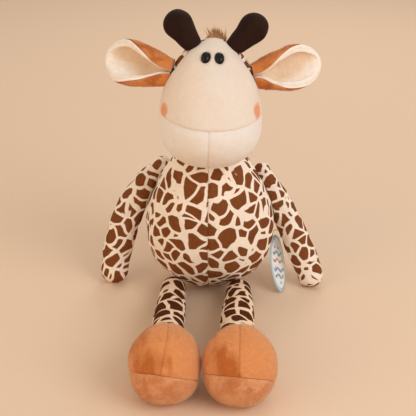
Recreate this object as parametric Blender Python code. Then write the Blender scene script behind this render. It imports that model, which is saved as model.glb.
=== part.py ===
"""Plush giraffe, sitting with its legs out in front, as separate stuffed and sewn pieces.

Lengths are in metres. The giraffe sits on the plane z = 0 and faces -Y. Left and right are
its own, so its left side is at +X. The origin is the middle of the flat under its seat.
"""
import math

import bmesh
import bpy
import numpy as np
from mathutils import Matrix, Vector

# Clearances: sewn pieces, a ball in its socket, padding on the table, an arm on the body
SEAM_GAP = 0.0003
TURN_GAP = 0.0006
FLAT_DEPTH = 0.0005
PRESS_GAP = 0.0005
CUT_OVERRUN = 0.02

# Torso: a pear that bulges forward of its seat, with a ball of a neck
BELLY_WIDTH = 0.149
BELLY_DEPTH = 0.140
BELLY_HEIGHT = 0.078
BELLY_FORWARD = 0.012
NECK_RADIUS = 0.036
NECK_HEIGHT = 0.168
NECK_FORWARD = 0.024
SEAT_POWER = 2.15
BELLY_RISE_SHARE = 0.36
SHOULDER_OUT_SHARE = 0.31
SHOULDER_DROP_SHARE = 0.14

# Head: an egg with its blunt end down in front, leaning back and a little to its left
HEAD_LENGTH = 0.134
HEAD_WIDTH = 0.108
HEAD_DEPTH = 0.108
HEAD_FORWARD = 0.051
CHIN_LIFT = 0.0054
HEAD_LEAN = math.radians(15.0)
HEAD_ROLL = math.radians(2.2)
HEAD_WIDEST_SHARE = 0.38
CHIN_POWER = 2.45
CROWN_POWER = 1.95
THINNEST_SHARE = 0.001

# The seam between face and back of head, as shares of half-depth and length from the chin
FACE_SEAM_SHARES = (
    (0.95, -0.20), (0.86, 0.10), (0.62, 0.38), (0.18, 0.56), (-0.24, 0.67),
    (-0.43, 0.78), (-0.40, 0.90), (-0.14, 1.00), (-0.10, 1.20),
)
MOUTH_HEIGHT_SHARE = 0.314
MOUTH_TILT = math.radians(20.0)

# Eyes: oval plastic buttons on a stem, each held inside the face by a pressed washer
EYE_WIDTH = 0.0098
EYE_HEIGHT = 0.0136
EYE_BULGE = 0.0048
EYE_SPACING_SHARE = 0.128
EYE_LEVEL_SHARE = 0.853
EYE_SINK = 0.0012
EYE_EDGE_SHARE = 0.12
STEM_RADIUS = 0.0016
STEM_LENGTH = 0.0062
WASHER_RADIUS = 0.0045
WASHER_THICKNESS = 0.0010
WASHER_DEPTH = 0.0030

# Horns: clubs sewn into the crown beside the face seam
HORN_LENGTHS = {"left": 0.0500, "right": 0.0478}
HORN_KNOB_RADIUS = 0.0152
HORN_ROOT_SPACING_SHARE = 0.389
HORN_LEVEL_SHARE = 0.935
HORN_BACK_SHARE = -0.16
HORN_SPREADS = {"left": math.radians(43.0), "right": math.radians(38.0)}
HORN_LEAN = math.radians(4.0)
HORN_SINK_SHARE = 0.14
HORN_RADIUS_SHARES = (
    (0.00, 0.66), (0.12, 0.68), (0.26, 0.71), (0.42, 0.80), (0.56, 0.93), (0.69, 1.00),
)

# Ears: a back and a lining, folded round a hollow that opens to the front
EAR_LENGTH = 0.074
EAR_HALF_HEIGHTS = {"left": 0.0201, "right": 0.0212}
EAR_BACK_THICKNESS = 0.0024
EAR_LINING_THICKNESS = 0.0022
EAR_RIM_THICKNESS = 0.0014
EAR_LEVEL_SHARE = 0.727
EAR_BACK_SHARE = -0.02
EAR_SINK_SHARE = 0.19
EAR_FOLD_DEPTH_SHARE = 0.62
EAR_LIFTS = {"left": math.radians(15.0), "right": math.radians(10.0)}
EAR_SWEEP = math.radians(8.0)
EAR_LIMIT = math.radians(18.0)
EAR_ROOT_CROWDING = 0.85
EAR_HEIGHT_SHARES = (
    (0.00, 0.54), (0.12, 0.66), (0.25, 0.78), (0.40, 0.91), (0.55, 0.99), (0.65, 1.00),
    (0.80, 0.91), (0.92, 0.66), (0.98, 0.36), (1.00, 0.16),
)
# How far the upper and the lower half of each ear are folded, in degrees along its length
EAR_FOLD_SHARES = (0.00, 0.13, 0.25, 0.40, 0.55, 0.70, 0.85, 1.00)
EAR_UPPER_FOLDS = {
    "left": (172, 168, 156, 138, 119, 100, 72, 42),
    "right": (172, 170, 160, 146, 125, 98, 72, 42),
}
EAR_LOWER_FOLDS = {
    "left": (172, 160, 132, 114, 104, 92, 70, 42),
    "right": (172, 166, 152, 141, 131, 110, 80, 42),
}

# Mane: a tuft on the crown that runs down the back of the head as a crest
MANE_HALF_WIDTH = 0.0095
MANE_RISE = 0.0095
MANE_LEVEL_SHARES = (0.985, 0.42)
MANE_SIZE_SHARES = (1.45, 0.70)
MANE_FIRST_SWELL = 0.28
MANE_SHOULDER_POWER = 0.8

# Arms: taper to the shoulder, hang beside the belly, hands on the table
ARM_ROOT_RADIUS = 0.0090
ARM_RADII = {"left": 0.0160, "right": 0.0173}
ARM_ROOT_HEIGHTS = {"left": 0.1290, "right": 0.1370}
ARM_ROOT_BEARING = math.radians(120.0)
ARM_SHARES = ((0.0, 0.54), (0.22, 0.80), (0.50, 0.97), (0.75, 1.0), (1.0, 0.93))
HAND_OUT = {"left": 0.1185, "right": 0.1130}
HAND_FORWARD = {"left": 0.0180, "right": 0.0160}
ARM_BOWS = {"left": 0.0040, "right": 0.0185}

# Legs: from a ball at the hip, which rests on the table, to a ball at the ankle
HIP_RADIUS = 0.0140
LEG_RADII = {"left": 0.0172, "right": 0.0162}
ANKLE_RADII = {"left": 0.0192, "right": 0.0180}
HIP_BEARINGS = {"left": math.radians(32.0), "right": math.radians(38.0)}
HIP_LEVELS = (0.004, 0.060)
ANKLE_OUT = {"left": 0.0330, "right": 0.0370}
ANKLE_FORWARD = 0.196
ANKLE_HEIGHT = 0.0360
LEG_SHARES = ((0.0, 0.84), (0.25, 0.93), (0.55, 1.0), (0.85, 1.07), (1.0, 1.10))

# Feet: eggs with their narrow end at the ankle, and a sole that faces down and forward
FOOT_LENGTH = 0.0840
FOOT_WIDTHS = {"left": 0.0718, "right": 0.0692}
FOOT_OUT = {"left": 0.0358, "right": 0.0355}
FOOT_HEIGHT = 0.0755
FOOT_WIDEST_SHARE = 0.56
HEEL_POWER = 1.75
TOE_POWER = 2.15
ANKLE_INSET = 0.0040
SOLE_TILT = math.radians(35.0)
SOLE_SEAM_HEIGHT = 0.0230

# Tail: a thin stuffed cord with a tuft, lying on the table behind
TAIL_RADIUS = 0.0048
TAIL_LENGTH = 0.062
TAIL_ROOT_HEIGHT = 0.034
TAIL_RADIUS_SHARES = ((0.0, 1.0), (0.5, 0.94), (1.0, 0.90))
TUFT_LENGTH = 0.034
TUFT_RADIUS = 0.0095
TUFT_WIDEST_SHARE = 0.42
TUFT_ROOT_POWER = 2.0
TUFT_TIP_POWER = 1.35

# Hang tag: an oval card on a plastic loop at the left side of the torso
TAG_LENGTH = 0.069
TAG_WIDTH = 0.033
TAG_THICKNESS = 0.0007
TAG_HOLE_RADIUS = 0.0020
TAG_HOLE_INSET = 0.0050
TAG_YAW = math.radians(57.0)
TAG_ROLL = math.radians(-9.0)
TAG_LEANS = (0.0, math.radians(80.0))
LOOP_RADIUS = 0.0060
LOOP_WIRE_RADIUS = 0.0005
LOOP_BUTTON_RADIUS = 0.0017
LOOP_BUTTON_THICKNESS = 0.0008
LOOP_HEIGHT = 0.0560
LOOP_BEARING = math.radians(102.0)

# How finely each form is faceted
TORSO_SIDES = 32
HEAD_SIDES = 32
LIMB_SIDES = 14
FOOT_SIDES = 20
HORN_SIDES = 14
TRIM_SIDES = 12
EYE_SIDES = 16
CARD_SIDES = 40
LOOP_SIDES = 6
LOOP_SEGMENTS = 24
SOCKET_SEGMENTS = 32
SOCKET_RINGS = 16
EYE_RINGS = 5
HORN_CAP_RINGS = 4
SEAT_RINGS = 8
RISE_RINGS = 7
NECK_RINGS = 5
EGG_RINGS = 8
FOOT_RINGS = 6
TUFT_RINGS = 5
CAP_RINGS = 3
ARM_RINGS = 10
LEG_RINGS = 8
TAIL_RINGS = 7
MANE_ROWS = 12
MANE_COLUMNS = 8
EAR_ROWS = 10
EAR_COLUMNS = 11
SMOOTH_ANGLE = math.radians(40.0)
NORMAL_STEP = 0.002
NORMAL_TURN = math.radians(1.0)
SEARCH_STEPS = 24

SIDES = (("left", 1), ("right", -1))
GROUND = Vector((0.0, 0.0, 0.0))
NECK = Vector((0.0, -NECK_FORWARD, NECK_HEIGHT))


def paint(name, colour, roughness):
    """A Principled finish of one colour, for fabric, plastic or card."""
    material = bpy.data.materials.new(name)
    material.use_nodes = True
    shader = material.node_tree.nodes["Principled BSDF"]
    shader.inputs["Base Color"].default_value = (*colour, 1.0)
    shader.inputs["Roughness"].default_value = roughness
    shader.inputs["Metallic"].default_value = 0.0
    material.diffuse_color = (*colour, 1.0)
    return material


def smooth(table, shares):
    """Values between the table's points, on a curve with level tangents at both ends."""
    places = np.array([row[0] for row in table], dtype=float)
    values = np.array([row[1] for row in table], dtype=float)
    slopes = np.gradient(values, places)
    slopes[0] = slopes[-1] = 0.0
    span = np.clip(np.searchsorted(places, shares, side="right") - 1, 0, len(places) - 2)
    width = places[span + 1] - places[span]
    part = np.clip((shares - places[span]) / width, 0.0, 1.0)
    first = values[span] * (2 * part**3 - 3 * part**2 + 1)
    last = values[span + 1] * (3 * part**2 - 2 * part**3)
    leaving = slopes[span] * width * (part**3 - 2 * part**2 + part)
    arriving = slopes[span + 1] * width * (part**3 - part**2)
    return first + last + leaving + arriving


def settle(clearance, low, high):
    """The value between low and high at which a clearance that grows with it becomes zero."""
    for _ in range(SEARCH_STEPS):
        middle = (low + high) / 2
        if clearance(middle) < 0:
            low = middle
        else:
            high = middle
    return high


def finish_mesh(name, builder, material, pivot=GROUND):
    """Make an object from a bmesh, smooth, with its origin where its body turns."""
    bmesh.ops.recalc_face_normals(builder, faces=builder.faces)
    bmesh.ops.translate(builder, verts=builder.verts, vec=-pivot)
    mesh = bpy.data.meshes.new(name)
    builder.to_mesh(mesh)
    builder.free()
    mesh.materials.append(material)
    mesh.shade_smooth()
    mesh.set_sharp_from_angle(angle=SMOOTH_ANGLE)
    piece = bpy.data.objects.new(name, mesh)
    piece.location = pivot
    bpy.context.scene.collection.objects.link(piece)
    return piece


def skin(rings, first_pole, last_pole):
    """A closed skin over rings of points, with a fan to a pole at each end."""
    builder = bmesh.new()
    start = builder.verts.new(first_pole)
    end = builder.verts.new(last_pole)
    loops = [[builder.verts.new(point) for point in ring] for ring in rings]
    count = len(loops[0])
    for side in range(count):
        after = (side + 1) % count
        builder.faces.new((start, loops[0][after], loops[0][side]))
        builder.faces.new((end, loops[-1][side], loops[-1][after]))
        for lower, upper in zip(loops, loops[1:]):
            builder.faces.new((lower[side], lower[after], upper[after], upper[side]))
    return builder


def cut_away(builder, point, normal):
    """Cut the solid by a plane, drop what lies on the normal's side and close the cut."""
    geometry = list(builder.verts) + list(builder.edges) + list(builder.faces)
    bmesh.ops.bisect_plane(
        builder, geom=geometry, plane_co=point, plane_no=normal, clear_outer=True
    )
    rim = [edge for edge in builder.edges if edge.is_boundary]
    bmesh.ops.contextual_create(builder, geom=rim)


def press_flat(builder):
    """Cut the padding flat where it rests on the table."""
    cut_away(builder, GROUND, Vector((0.0, 0.0, -1.0)))


def as_cutter(piece):
    """Mark a guide shape, which cuts other pieces and is no piece itself."""
    piece.hide_render = True
    piece.display_type = "WIRE"
    return piece


def boolean(piece, cutter, operation):
    """Cut the piece by the cutter, or keep what both share."""
    modifier = piece.modifiers.new(operation.lower(), "BOOLEAN")
    modifier.operation = operation
    modifier.solver = "EXACT"
    modifier.object = cutter


def place(builder, matrix):
    """Move a shape from its own frame to where it belongs."""
    bmesh.ops.transform(builder, matrix=matrix, verts=builder.verts)


def ball(radius, centre):
    """A fine ball, as the guide for a socket."""
    builder = bmesh.new()
    bmesh.ops.create_uvsphere(
        builder, u_segments=SOCKET_SEGMENTS, v_segments=SOCKET_RINGS, radius=radius
    )
    place(builder, Matrix.Translation(centre))
    return builder


def torso_outline():
    """Half-width against height: flattened seat, slack rise to the shoulders, neck ball."""
    belly = BELLY_WIDTH / 2
    turn = np.linspace(0.0, math.pi / 2, SEAT_RINGS + 1)
    seat_out = belly * np.sin(turn) ** (2 / SEAT_POWER)
    seat_up = BELLY_HEIGHT - (BELLY_HEIGHT + FLAT_DEPTH) * np.cos(turn) ** (2 / SEAT_POWER)
    rise = NECK_HEIGHT - BELLY_HEIGHT
    corners = np.array([
        (belly, BELLY_HEIGHT),
        (belly, BELLY_HEIGHT + rise * BELLY_RISE_SHARE),
        (NECK_RADIUS + (belly - NECK_RADIUS) * SHOULDER_OUT_SHARE,
         NECK_HEIGHT - rise * SHOULDER_DROP_SHARE),
        (NECK_RADIUS, NECK_HEIGHT),
    ])
    part = np.linspace(0.0, 1.0, RISE_RINGS + 1)[1:]
    weights = np.stack([
        (1 - part) ** 3, 3 * part * (1 - part) ** 2, 3 * part**2 * (1 - part), part**3,
    ])
    curve = weights.T @ corners
    climb = np.linspace(0.0, math.pi / 2, NECK_RINGS + 1)[1:]
    neck_out = NECK_RADIUS * np.cos(climb)
    neck_up = NECK_HEIGHT + NECK_RADIUS * np.sin(climb)
    out = np.concatenate([seat_out, curve[:, 0], neck_out])
    up = np.concatenate([seat_up, curve[:, 1], neck_up])
    return out, up


def torso_depth_share(height):
    """The torso is shallower than it is wide at the belly, and round at the neck."""
    return np.interp(height, (BELLY_HEIGHT, NECK_HEIGHT), (BELLY_DEPTH / BELLY_WIDTH, 1.0))


def torso_middle(height):
    """Where the torso's middle line lies along Y at a height: it bends forward of the seat."""
    below = np.clip(1 - height / BELLY_HEIGHT, 0.0, 1.0)
    above = np.clip((height - BELLY_HEIGHT) / (NECK_HEIGHT - BELLY_HEIGHT), 0.0, 1.0)
    rise = above**2 * (3 - 2 * above)
    return -BELLY_FORWARD * (1 - below**2) - (NECK_FORWARD - BELLY_FORWARD) * rise


def torso_point(height, bearing):
    """A point of the torso's surface; bearing 0 is its front and grows towards its left."""
    out, up = torso_outline()
    reach = float(np.interp(height, up, out))
    depth = reach * float(torso_depth_share(height))
    middle = float(torso_middle(height))
    return Vector((reach * math.sin(bearing), middle - depth * math.cos(bearing), height))


def torso_normal(height, bearing):
    """The way out of the torso at a point, from two short steps along its surface."""
    rising = (torso_point(height + NORMAL_STEP, bearing)
              - torso_point(height - NORMAL_STEP, bearing))
    going = (torso_point(height, bearing + NORMAL_TURN)
             - torso_point(height, bearing - NORMAL_TURN))
    return going.cross(rising).normalized()


def off_torso(height, bearing, distance):
    """A point that lies a distance straight out from the torso."""
    return torso_point(height, bearing) + torso_normal(height, bearing) * distance


def torso_form(grow=0.0):
    """The whole body, larger all round by grow, before it is pressed flat."""
    out, up = torso_outline()
    around = np.linspace(0.0, 2 * math.pi, TORSO_SIDES, endpoint=False)
    depth = out * torso_depth_share(up) + grow
    out = out + grow
    middle = torso_middle(np.maximum(up, 0.0))
    rings = [
        np.stack([o * np.sin(around), m - d * np.cos(around), np.full(TORSO_SIDES, u)], axis=1)
        for o, d, m, u in zip(out[1:-1], depth[1:-1], middle[1:-1], up[1:-1])
    ]
    return skin(rings, (0.0, middle[0], up[0]), (0.0, middle[-1], up[-1]))


def make_torso(material):
    """The stuffed body, flat under the seat, with the neck ball that the head turns on."""
    builder = torso_form()
    press_flat(builder)
    finish_mesh("torso", builder, material)


def egg(length, half_width, half_depth, widest_share, start_power, end_power, count, sides):
    """Rings of an egg along +Z from 0 to length, with its own roundness at each end."""
    widest = length * widest_share
    turn = np.linspace(0.0, math.pi / 2, count + 1)
    start_up = widest * (1 - np.cos(turn) ** (2 / start_power))
    start_out = np.sin(turn) ** (2 / start_power)
    end_up = widest + (length - widest) * np.sin(turn) ** (2 / end_power)
    end_out = np.cos(turn) ** (2 / end_power)
    up = np.concatenate([start_up[1:], end_up[1:-1]])
    out = np.concatenate([start_out[1:], end_out[1:-1]])
    around = np.linspace(0.0, 2 * math.pi, sides, endpoint=False)
    return [
        np.stack([half_width * o * np.sin(around), -half_depth * o * np.cos(around),
                  np.full(sides, u)], axis=1)
        for o, u in zip(out, up)
    ]


def head_frame():
    """The head's own frame: its origin at the chin, +Z up its length, -Y to the front."""
    chin = Vector((0.0, -HEAD_FORWARD, CHIN_LIFT))
    roll = Matrix.Rotation(HEAD_ROLL, 4, "Y")
    lean = Matrix.Rotation(-HEAD_LEAN, 4, "X")
    return Matrix.Translation(NECK) @ roll @ Matrix.Translation(chin) @ lean


def head_form(grow=0.0):
    """The whole head, a size larger all round by grow, in its place."""
    length = HEAD_LENGTH + 2 * grow
    rings = egg(length, HEAD_WIDTH / 2 + grow, HEAD_DEPTH / 2 + grow, HEAD_WIDEST_SHARE,
                CHIN_POWER, CROWN_POWER, EGG_RINGS, HEAD_SIDES)
    builder = skin(rings, (0.0, 0.0, 0.0), (0.0, 0.0, length))
    place(builder, head_frame() @ Matrix.Translation((0.0, 0.0, -grow)))
    return builder


def head_out_share(level_share):
    """How wide the head is at a level, as a share of its widest."""
    above = level_share >= HEAD_WIDEST_SHARE
    span = (1 - HEAD_WIDEST_SHARE) if above else HEAD_WIDEST_SHARE
    power = CROWN_POWER if above else CHIN_POWER
    away = abs(level_share - HEAD_WIDEST_SHARE) / span
    return max(0.0, 1 - away**power) ** (1 / power)


def head_point(level_share, side_reach, back_share):
    """A point of the head in its own frame, from its level and how far aside or back it is."""
    out = head_out_share(level_share)
    half_width = HEAD_WIDTH / 2 * out
    half_depth = HEAD_DEPTH / 2 * out
    if side_reach is None:
        depth = half_depth * back_share
        side_reach = half_width * math.sqrt(1 - back_share**2)
    else:
        depth = -half_depth * math.sqrt(1 - (side_reach / half_width) ** 2)
    return Vector((side_reach, depth, HEAD_LENGTH * level_share))


def head_normal(point):
    """The way out of the head at a point of its surface, in its own frame."""
    level = point.z / HEAD_LENGTH
    above = level >= HEAD_WIDEST_SHARE
    power = CROWN_POWER if above else CHIN_POWER
    span = HEAD_LENGTH * ((1 - HEAD_WIDEST_SHARE) if above else HEAD_WIDEST_SHARE)
    away = (point.z - HEAD_LENGTH * HEAD_WIDEST_SHARE) / span
    out = max(head_out_share(level), THINNEST_SHARE)
    slope = math.copysign(abs(away) ** (power - 1), away) / span * out ** (2 - power)
    gradient = Vector((
        point.x / (HEAD_WIDTH / 2) ** 2, point.y / (HEAD_DEPTH / 2) ** 2, slope,
    ))
    return gradient.normalized()


def seam_prism(name, offset, material):
    """A guide that fills the space behind the face seam, moved back by offset."""
    half = HEAD_WIDTH / 2 + CUT_OVERRUN
    seam = [(HEAD_DEPTH / 2 * back + offset, HEAD_LENGTH * level)
            for back, level in FACE_SEAM_SHARES]
    behind = HEAD_DEPTH / 2 + CUT_OVERRUN + offset
    outline = seam + [(behind, seam[-1][1]), (behind, seam[0][1])]
    builder = bmesh.new()
    corners = [builder.verts.new((-half, back, level)) for back, level in outline]
    face = builder.faces.new(corners)
    swept = bmesh.ops.extrude_face_region(builder, geom=[face])
    moved = [item for item in swept["geom"] if isinstance(item, bmesh.types.BMVert)]
    bmesh.ops.translate(builder, verts=moved, vec=(2 * half, 0.0, 0.0))
    place(builder, head_frame())
    return as_cutter(finish_mesh(name, builder, material))


def mouth_plane():
    """A point of the mouth seam's plane and its way up, in place."""
    level = Vector((0.0, -HEAD_DEPTH / 2, HEAD_LENGTH * MOUTH_HEIGHT_SHARE))
    up = Matrix.Rotation(MOUTH_TILT, 4, "X") @ Vector((0.0, 0.0, 1.0))
    frame = head_frame()
    return frame @ level, (frame.to_3x3() @ up).normalized()


def eye_frames():
    """Each eye's place on the face, with +Z pointing out of the face."""
    frames = {}
    for name, sign in SIDES:
        point = head_point(EYE_LEVEL_SHARE, sign * HEAD_WIDTH * EYE_SPACING_SHARE / 2, 0.0)
        outward = head_normal(point)
        side = Vector((0.0, 0.0, 1.0)).cross(outward).normalized()
        up = outward.cross(side)
        turn = Matrix((side, up, outward)).transposed().to_4x4()
        seat = Matrix.Translation(point - outward * EYE_SINK)
        frames[name] = head_frame() @ seat @ turn
    return frames


def turned(profile, sides, oval_share=1.0):
    """Spin a profile of (radius, height) round Z; what is wider than the stem is made oval."""
    around = np.linspace(0.0, 2 * math.pi, sides, endpoint=False)
    rings = []
    for radius, height in profile[1:-1]:
        narrow = oval_share if height > -EYE_BULGE / 4 else 1.0
        rings.append(np.stack([radius * narrow * np.cos(around), radius * np.sin(around),
                               np.full(sides, height)], axis=1))
    return skin(rings, (0.0, 0.0, profile[0][1]), (0.0, 0.0, profile[-1][1]))


def button_profile(grow):
    """The flat back of the button and its dome."""
    half = EYE_HEIGHT / 2 + grow
    profile = [(half, -grow)]
    for step in range(EYE_RINGS):
        angle = math.pi / 2 * step / EYE_RINGS
        dome = (EYE_BULGE * (1 - EYE_EDGE_SHARE) + grow) * math.sin(angle)
        profile.append((half * math.cos(angle), EYE_BULGE * EYE_EDGE_SHARE + dome))
    profile.append((0.0, EYE_BULGE + grow))
    return profile


def make_eyes(face, eye_finish, washer_finish):
    """Both eyes with their washers, and the stepped hole that each needs in the face."""
    oval = EYE_WIDTH / EYE_HEIGHT
    low = -WASHER_DEPTH - WASHER_THICKNESS
    stem = STEM_RADIUS + SEAM_GAP
    pocket = WASHER_RADIUS + SEAM_GAP
    for name, frame in eye_frames().items():
        button = turned([(0.0, -STEM_LENGTH), (STEM_RADIUS, -STEM_LENGTH), (STEM_RADIUS, 0.0)]
                        + button_profile(0.0), EYE_SIDES, oval)
        place(button, frame)
        finish_mesh("eye_" + name, button, eye_finish, NECK)
        washer = washer_ring(low)
        place(washer, frame)
        finish_mesh("eye_washer_" + name, washer, washer_finish, NECK)
        end = -STEM_LENGTH - SEAM_GAP
        hole = turned([(0.0, end), (stem, end), (stem, low - SEAM_GAP),
                       (pocket, low - SEAM_GAP), (pocket, SEAM_GAP - WASHER_DEPTH),
                       (stem, SEAM_GAP - WASHER_DEPTH), (stem, -SEAM_GAP)]
                      + button_profile(SEAM_GAP), EYE_SIDES, oval)
        place(hole, frame)
        boolean(face, as_cutter(finish_mesh("eye_hole_" + name, hole, washer_finish)),
                "DIFFERENCE")


def washer_ring(low):
    """A flat ring that grips the stem, from low up by its thickness."""
    builder = bmesh.new()
    inner = STEM_RADIUS + SEAM_GAP
    corners = [(inner, low), (WASHER_RADIUS, low), (WASHER_RADIUS, low + WASHER_THICKNESS),
               (inner, low + WASHER_THICKNESS)]
    verts = [builder.verts.new((radius, 0.0, height)) for radius, height in corners]
    edges = [builder.edges.new((verts[i], verts[(i + 1) % 4])) for i in range(4)]
    bmesh.ops.spin(builder, geom=verts + edges, cent=(0.0, 0.0, 0.0), axis=(0.0, 0.0, 1.0),
                   angle=2 * math.pi, steps=EYE_SIDES, use_merge=True)
    return builder


def make_head(spotted, cream, pale):
    """The head in three stuffed pieces that meet at the face seam and the mouth seam."""
    socket = as_cutter(finish_mesh("neck_socket", ball(NECK_RADIUS + TURN_GAP, NECK), cream))
    before = seam_prism("seam_before", -SEAM_GAP / 2, cream)
    behind = seam_prism("seam_behind", SEAM_GAP / 2, cream)
    point, up = mouth_plane()

    back = finish_mesh("head_back", head_form(), spotted, NECK)
    boolean(back, behind, "INTERSECT")

    upper = head_form()
    cut_away(upper, point + up * SEAM_GAP / 2, -up)
    face = finish_mesh("face", upper, cream, NECK)
    boolean(face, before, "DIFFERENCE")

    lower = head_form()
    cut_away(lower, point - up * SEAM_GAP / 2, up)
    jaw = finish_mesh("jaw", lower, pale, NECK)
    boolean(jaw, before, "DIFFERENCE")

    for piece in (back, face, jaw):
        boolean(piece, socket, "DIFFERENCE")
    return face


def make_horns(seat, material):
    """Two club horns, each cut to the crown that it is sewn to."""
    for name, sign in SIDES:
        length = HORN_LENGTHS[name]
        profile = [(0.0, 0.0)]
        profile += [(share * HORN_KNOB_RADIUS, level * length)
                    for level, share in HORN_RADIUS_SHARES]
        knob = profile[-1][1]
        for step in range(1, HORN_CAP_RINGS + 1):
            angle = math.pi / 2 * step / (HORN_CAP_RINGS + 1)
            profile.append((HORN_KNOB_RADIUS * math.cos(angle),
                            knob + (length - knob) * math.sin(angle)))
        profile.append((0.0, length))
        aside = sign * HEAD_WIDTH * HORN_ROOT_SPACING_SHARE / 2
        root = head_point(HORN_LEVEL_SHARE, aside, 0.0)
        root.y = HEAD_DEPTH / 2 * HORN_BACK_SHARE
        spread = Matrix.Rotation(sign * HORN_SPREADS[name], 4, "Y")
        lean = Matrix.Rotation(HORN_LEAN, 4, "X")
        sink = Matrix.Translation((0.0, 0.0, -length * HORN_SINK_SHARE))
        horn = turned(profile, HORN_SIDES)
        place(horn, head_frame() @ Matrix.Translation(root) @ spread @ lean @ sink)
        piece = finish_mesh("horn_" + name, horn, material, NECK)
        boolean(piece, seat, "DIFFERENCE")


def ear_layer(inner, outer, rim, name, sign):
    """A folded leaf between two offsets from the fold, with its long side along +X.

    A row bends up and down through its two fold angles, so a point at angle a lies
    (r - offset) sin a up and r - (r - offset) cos a forward, and the rim is thickened.
    """
    shares = np.linspace(0.0, 1.0, EAR_ROWS) ** EAR_ROOT_CROWDING
    across = np.sin(np.linspace(-math.pi / 2, math.pi / 2, EAR_COLUMNS))
    half = smooth(EAR_HEIGHT_SHARES, shares) * EAR_HALF_HEIGHTS[name]
    upper, lower = (np.radians(smooth(list(zip(EAR_FOLD_SHARES, folds[name])), shares))
                    for folds in (EAR_UPPER_FOLDS, EAR_LOWER_FOLDS))
    fold = np.where(across[None, :] > 0, upper[:, None], lower[:, None])
    radius = half[:, None] / np.sin(np.minimum(fold, math.pi / 2))
    angle = fold * across[None, :]
    builder = bmesh.new()
    sheets = []
    for offset, lip in ((inner, 0.0), (outer, rim)):
        depth = offset + lip * np.abs(across[None, :]) ** 3
        near = radius - depth
        up = near * np.sin(angle)
        forward = (radius - near * np.cos(angle)) * EAR_FOLD_DEPTH_SHARE
        along = np.broadcast_to(EAR_LENGTH * shares[:, None], up.shape)
        sheet = np.stack([sign * along, -forward, up], axis=2)
        sheets.append([[builder.verts.new(point) for point in row] for row in sheet])
    for sheet in sheets:
        for low, high in zip(sheet, sheet[1:]):
            for column in range(EAR_COLUMNS - 1):
                builder.faces.new((low[column], low[column + 1], high[column + 1]))
                builder.faces.new((low[column], high[column + 1], high[column]))
    front, back = sheets
    edge = [(row, 0) for row in range(EAR_ROWS)]
    edge += [(EAR_ROWS - 1, column) for column in range(1, EAR_COLUMNS)]
    edge += [(row, EAR_COLUMNS - 1) for row in range(EAR_ROWS - 2, -1, -1)]
    edge += [(0, column) for column in range(EAR_COLUMNS - 2, 0, -1)]
    for (row, column), (to_row, to_column) in zip(edge, edge[1:] + edge[:1]):
        builder.faces.new((front[row][column], front[to_row][to_column],
                           back[to_row][to_column], back[row][column]))
    return builder


def ear_pivot(sign):
    """Where an ear is sewn on, in the head's frame, and the line that it flaps about."""
    point = head_point(EAR_LEVEL_SHARE, None, EAR_BACK_SHARE)
    point.x *= sign
    outward = head_normal(point)
    line = Vector((0.0, 1.0, 0.0)).cross(outward).normalized()
    return point + outward * SEAM_GAP, line if line.z > 0 else -line


def make_ears(back_finish, lining_finish):
    """Two ears, each with a fur back and a pale lining, relieved where they flap."""
    for name, sign in SIDES:
        point, line = ear_pivot(sign)
        lift = Matrix.Rotation(-sign * EAR_LIFTS[name], 4, "Y")
        sweep = Matrix.Rotation(sign * EAR_SWEEP, 4, "Z")
        frame = head_frame() @ Matrix.Translation(point) @ lift @ sweep
        sink = EAR_HALF_HEIGHTS[name] * EAR_SINK_SHARE
        reach = Matrix.Translation((-sign * sink, 0.0, 0.0))
        layers = (
            ("ear_back_", -EAR_BACK_THICKNESS, 0.0, 0.0, back_finish),
            ("ear_lining_", SEAM_GAP, SEAM_GAP + EAR_LINING_THICKNESS, EAR_RIM_THICKNESS,
             lining_finish),
        )
        pivot = head_frame() @ point
        axis = head_frame().to_3x3() @ line
        cutters = []
        for step, angle in enumerate((-EAR_LIMIT, 0.0, EAR_LIMIT)):
            form = head_form(SEAM_GAP)
            around = (Matrix.Translation(pivot) @ Matrix.Rotation(angle, 4, axis)
                      @ Matrix.Translation(-pivot))
            place(form, around)
            cutters.append(as_cutter(finish_mesh(f"ear_relief_{name}_{step}", form,
                                                 back_finish)))
        for title, inner, outer, rim, finish in layers:
            layer = ear_layer(inner, outer, rim, name, sign)
            place(layer, frame @ reach)
            piece = finish_mesh(title + name, layer, finish, pivot)
            for cutter in cutters:
                boolean(piece, cutter, "DIFFERENCE")


def make_mane(seat, material):
    """A crest that stands on the head's middle line from the crown down its back."""
    levels = np.linspace(*MANE_LEVEL_SHARES, MANE_ROWS)
    swell = np.sqrt(np.sin(np.linspace(MANE_FIRST_SWELL, 1.0, MANE_ROWS) * math.pi))
    sizes = swell * np.linspace(*MANE_SIZE_SHARES, MANE_ROWS)
    last = MANE_COLUMNS - 1
    rings = []
    for level, size in zip(levels, sizes):
        foot = head_point(level, None, 1.0)
        outward = head_normal(foot)
        base = foot + outward * SEAM_GAP
        ring = []
        for step in range(MANE_COLUMNS):
            angle = math.pi * step / last
            side = MANE_HALF_WIDTH * size * math.cos(angle)
            hump = math.sin(angle) ** MANE_SHOULDER_POWER if 0 < step < last else 0.0
            hug = side**2 / HEAD_WIDTH / head_out_share(level)
            ring.append(base + Vector((side, 0.0, 0.0))
                        + outward * (MANE_RISE * size * hump - hug))
        rings.append(ring)
    ends = [sum(ring, Vector()) / MANE_COLUMNS for ring in (rings[0], rings[-1])]
    builder = skin([[tuple(point) for point in ring] for ring in rings], *ends)
    place(builder, head_frame())
    boolean(finish_mesh("mane", builder, material, NECK), seat, "DIFFERENCE")


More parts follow.
